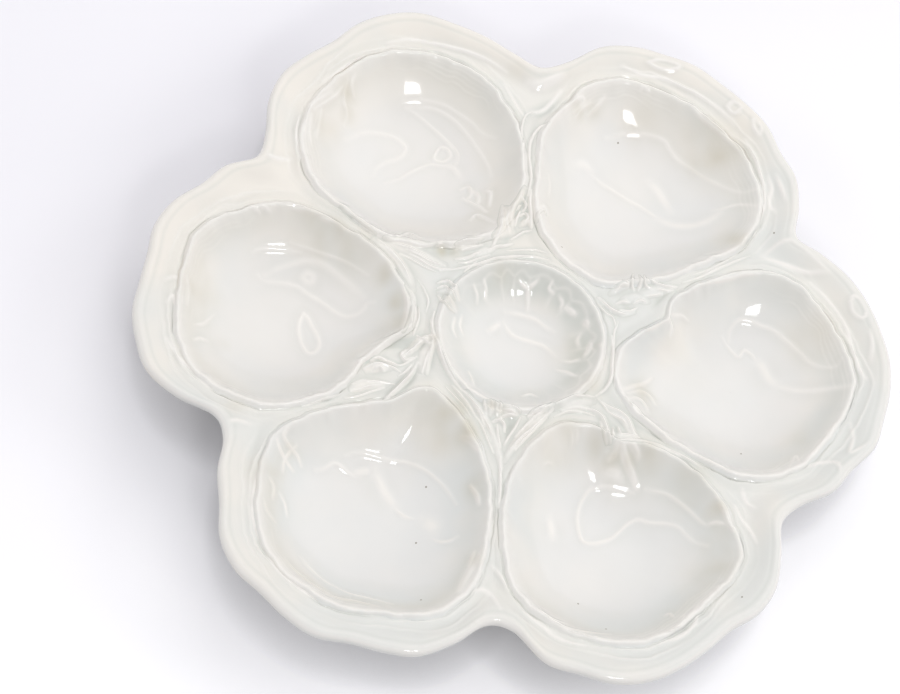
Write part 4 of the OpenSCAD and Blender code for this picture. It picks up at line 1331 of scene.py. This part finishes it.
dress(tray(), "glazed_tray", tray_glaze, "tray")
dress(foot(), "glazed_foot", foot_glaze, "foot_ring")
dress(well(CUP, cup_folds, CUP_COLUMNS, CUP_RINGS), "glazed_cup", cup_glaze, "sauce_cup")
for i in range(LOBES):
    folds = [fold for fold in shell_folds if shell_of(fold) == i]
    shell = well(i, folds, SHELL_COLUMNS, BOWL_RINGS)
    dress(shell, f"glazed_shell_{i + 1}", shell_glaze, f"oyster_shell_{i + 1}")
    dress(sprig(tufts[i]), f"glazed_sprig_{i + 1}", sprig_glaze, f"sprig_{i + 1}")


# Studio

def panel(name, azimuth, elevation, distance, width, height, share, colour, mirrored=False):
    """A rectangular lamp in a direction from the plate, turned to it. It gives a level white surface a
    share of full white: its radiance is pi times the share over its solid angle and the sine of its
    elevation, and its power is pi times its area times that radiance."""
    rise = math.sin(math.radians(elevation))
    radiance = math.pi * share * distance ** 2 / (width * height * rise)
    light = bpy.data.lights.new(name, "AREA")
    light.shape = "RECTANGLE"
    light.size = width
    light.size_y = height
    light.energy = math.pi * width * height * radiance
    light.color = colour
    lamp = bpy.data.objects.new(name, light)
    lamp.visible_glossy = mirrored
    bpy.context.scene.collection.objects.link(lamp)
    flat = polar(distance * math.cos(math.radians(elevation)), azimuth)
    lamp.location = (flat[0], flat[1], distance * rise)
    lamp.rotation_mode = "QUATERNION"
    lamp.rotation_quaternion = (-lamp.location).to_track_quat("-Z", "Y")


WARM = (1.0, 0.985, 0.965)
PLAIN = (1.0, 1.0, 1.0)
SKY = (0.98, 0.98, 1.0, 1)
SKY_FILL = 0.37
PAPER_SHADED = (0.295, 0.29, 0.32, 1)
PAPER_LIT = (0.485, 0.485, 0.495, 1)
TABLE_WHITE = (0.64, 0.635, 0.655, 1)
SHADOW_BLACK = (0, 0, 0, 1)
CONTACT_REACH = 0.0245
SOFT_REACH = 0.06
# How fast the table's glow lightens in its painted light falloff, and its painted soft shadow deepens, along
# X and against Y, per metre
PAINTED_FALLOFF = (1.2, 2.2)
PAINTED_FALLOFF_GAIN = 1.6
SHADOWING = (-5.0, 1.6)

panel("overhead panel", 70.0, 80.0, 0.9, 0.6, 0.6, 0.14, WARM)
panel("back panel", 78.0, 47.0, 1.0, 0.7, 0.5, 0.17, WARM)
panel("front panel", -50.0, 42.0, 2.0, 1.3, 1.1, 0.12, PLAIN)
panel("left panel", 180.0, 30.0, 2.0, 1.1, 1.1, 0.11, PLAIN)
panel("right panel", 8.0, 30.0, 2.0, 0.9, 0.9, 0.10, PLAIN)
panel("front window", -77.0, 48.0, 1.1, 0.23, 0.14, 0.09, PLAIN, mirrored=True)

# The world is white where it is seen or mirrored, and dimmer where it lights
world = bpy.data.worlds.new("studio")
bpy.context.scene.world = world
sky = Shader(world)
fill = sky.node("ShaderNodeBackground", None, {"Color": SKY, "Strength": SKY_FILL})
white = sky.node("ShaderNodeBackground", None, {"Color": (*PLAIN, 1), "Strength": 1.0})
either = sky.node("ShaderNodeMixShader", None, {0: sky.seen(), 1: fill, 2: white})
sky.node("ShaderNodeOutputWorld", None, {0: either})

# A white table that glows a little where it is seen, with painted light and shade: less glow at the back
# left, and a painted shadow of the plate next to it
FLOOR_HALF = 3.0
floor_mesh = bpy.data.meshes.new("floor")
floor_corners = [(-FLOOR_HALF, -FLOOR_HALF, 0), (FLOOR_HALF, -FLOOR_HALF, 0),
                 (FLOOR_HALF, FLOOR_HALF, 0), (-FLOOR_HALF, FLOOR_HALF, 0)]
floor_mesh.from_pydata(floor_corners, [], [(0, 1, 2, 3)])
floor = bpy.data.objects.new("floor", floor_mesh)
bpy.context.scene.collection.objects.link(floor)
floor_material = bpy.data.materials.new("white table")
table = Shader(floor_material)
across = table.axis("X")
along = table.axis("Y")
# Painted light falloff: the glow is darker towards the back left and lighter towards the front right
painted_falloff = (across * PAINTED_FALLOFF[0] - along * PAINTED_FALLOFF[1]) * PAINTED_FALLOFF_GAIN + 0.5
painted_glow = table.colours(PAPER_SHADED, PAPER_LIT, painted_falloff.clamped())
# Painted shadows: ambient occlusion darkens the glow towards black next to the plate, and a wider occlusion
# darkens it mostly on the left
near, wide = (table.value("ShaderNodeAmbientOcclusion", "AO", {"samples": 12}, {"Distance": reach})
              for reach in (CONTACT_REACH, SOFT_REACH))
soft_shadow_side = (across * SHADOWING[0] - along * SHADOWING[1] + 0.1).clamped()
painted_soft_shadow = 1.0 - (1.0 - wide) * soft_shadow_side
painted_glow = table.colours(SHADOW_BLACK, painted_glow, near * near * (near * 0.5 + 0.5) * painted_soft_shadow)
matt = table.node("ShaderNodeBsdfDiffuse", None, {"Color": TABLE_WHITE})
glow = table.node("ShaderNodeEmission", None, {"Color": painted_glow, "Strength": table.seen()})
both = table.node("ShaderNodeAddShader", None, {0: matt, 1: glow})
table.node("ShaderNodeOutputMaterial", None, {0: both})
floor_mesh.materials.append(floor_material)

# The camera of the photograph
camera = bpy.data.objects.new("camera", bpy.data.cameras.new("camera"))
bpy.context.scene.collection.objects.link(camera)
camera.data.sensor_width = SENSOR_MM
camera.data.lens = FOCAL_PIXELS / FRAME_WIDTH * SENSOR_MM
camera.data.clip_end = 20
turn = Matrix([Vector(RIGHT), Vector(UP), Vector(BACK)]).transposed()
camera.matrix_world = Matrix.Translation(Vector((CAMERA_PLACE + PLATE_SHIFT) * MM)) @ turn.to_4x4()
bpy.context.scene.camera = camera
bpy.context.scene.view_settings.view_transform = "Standard"
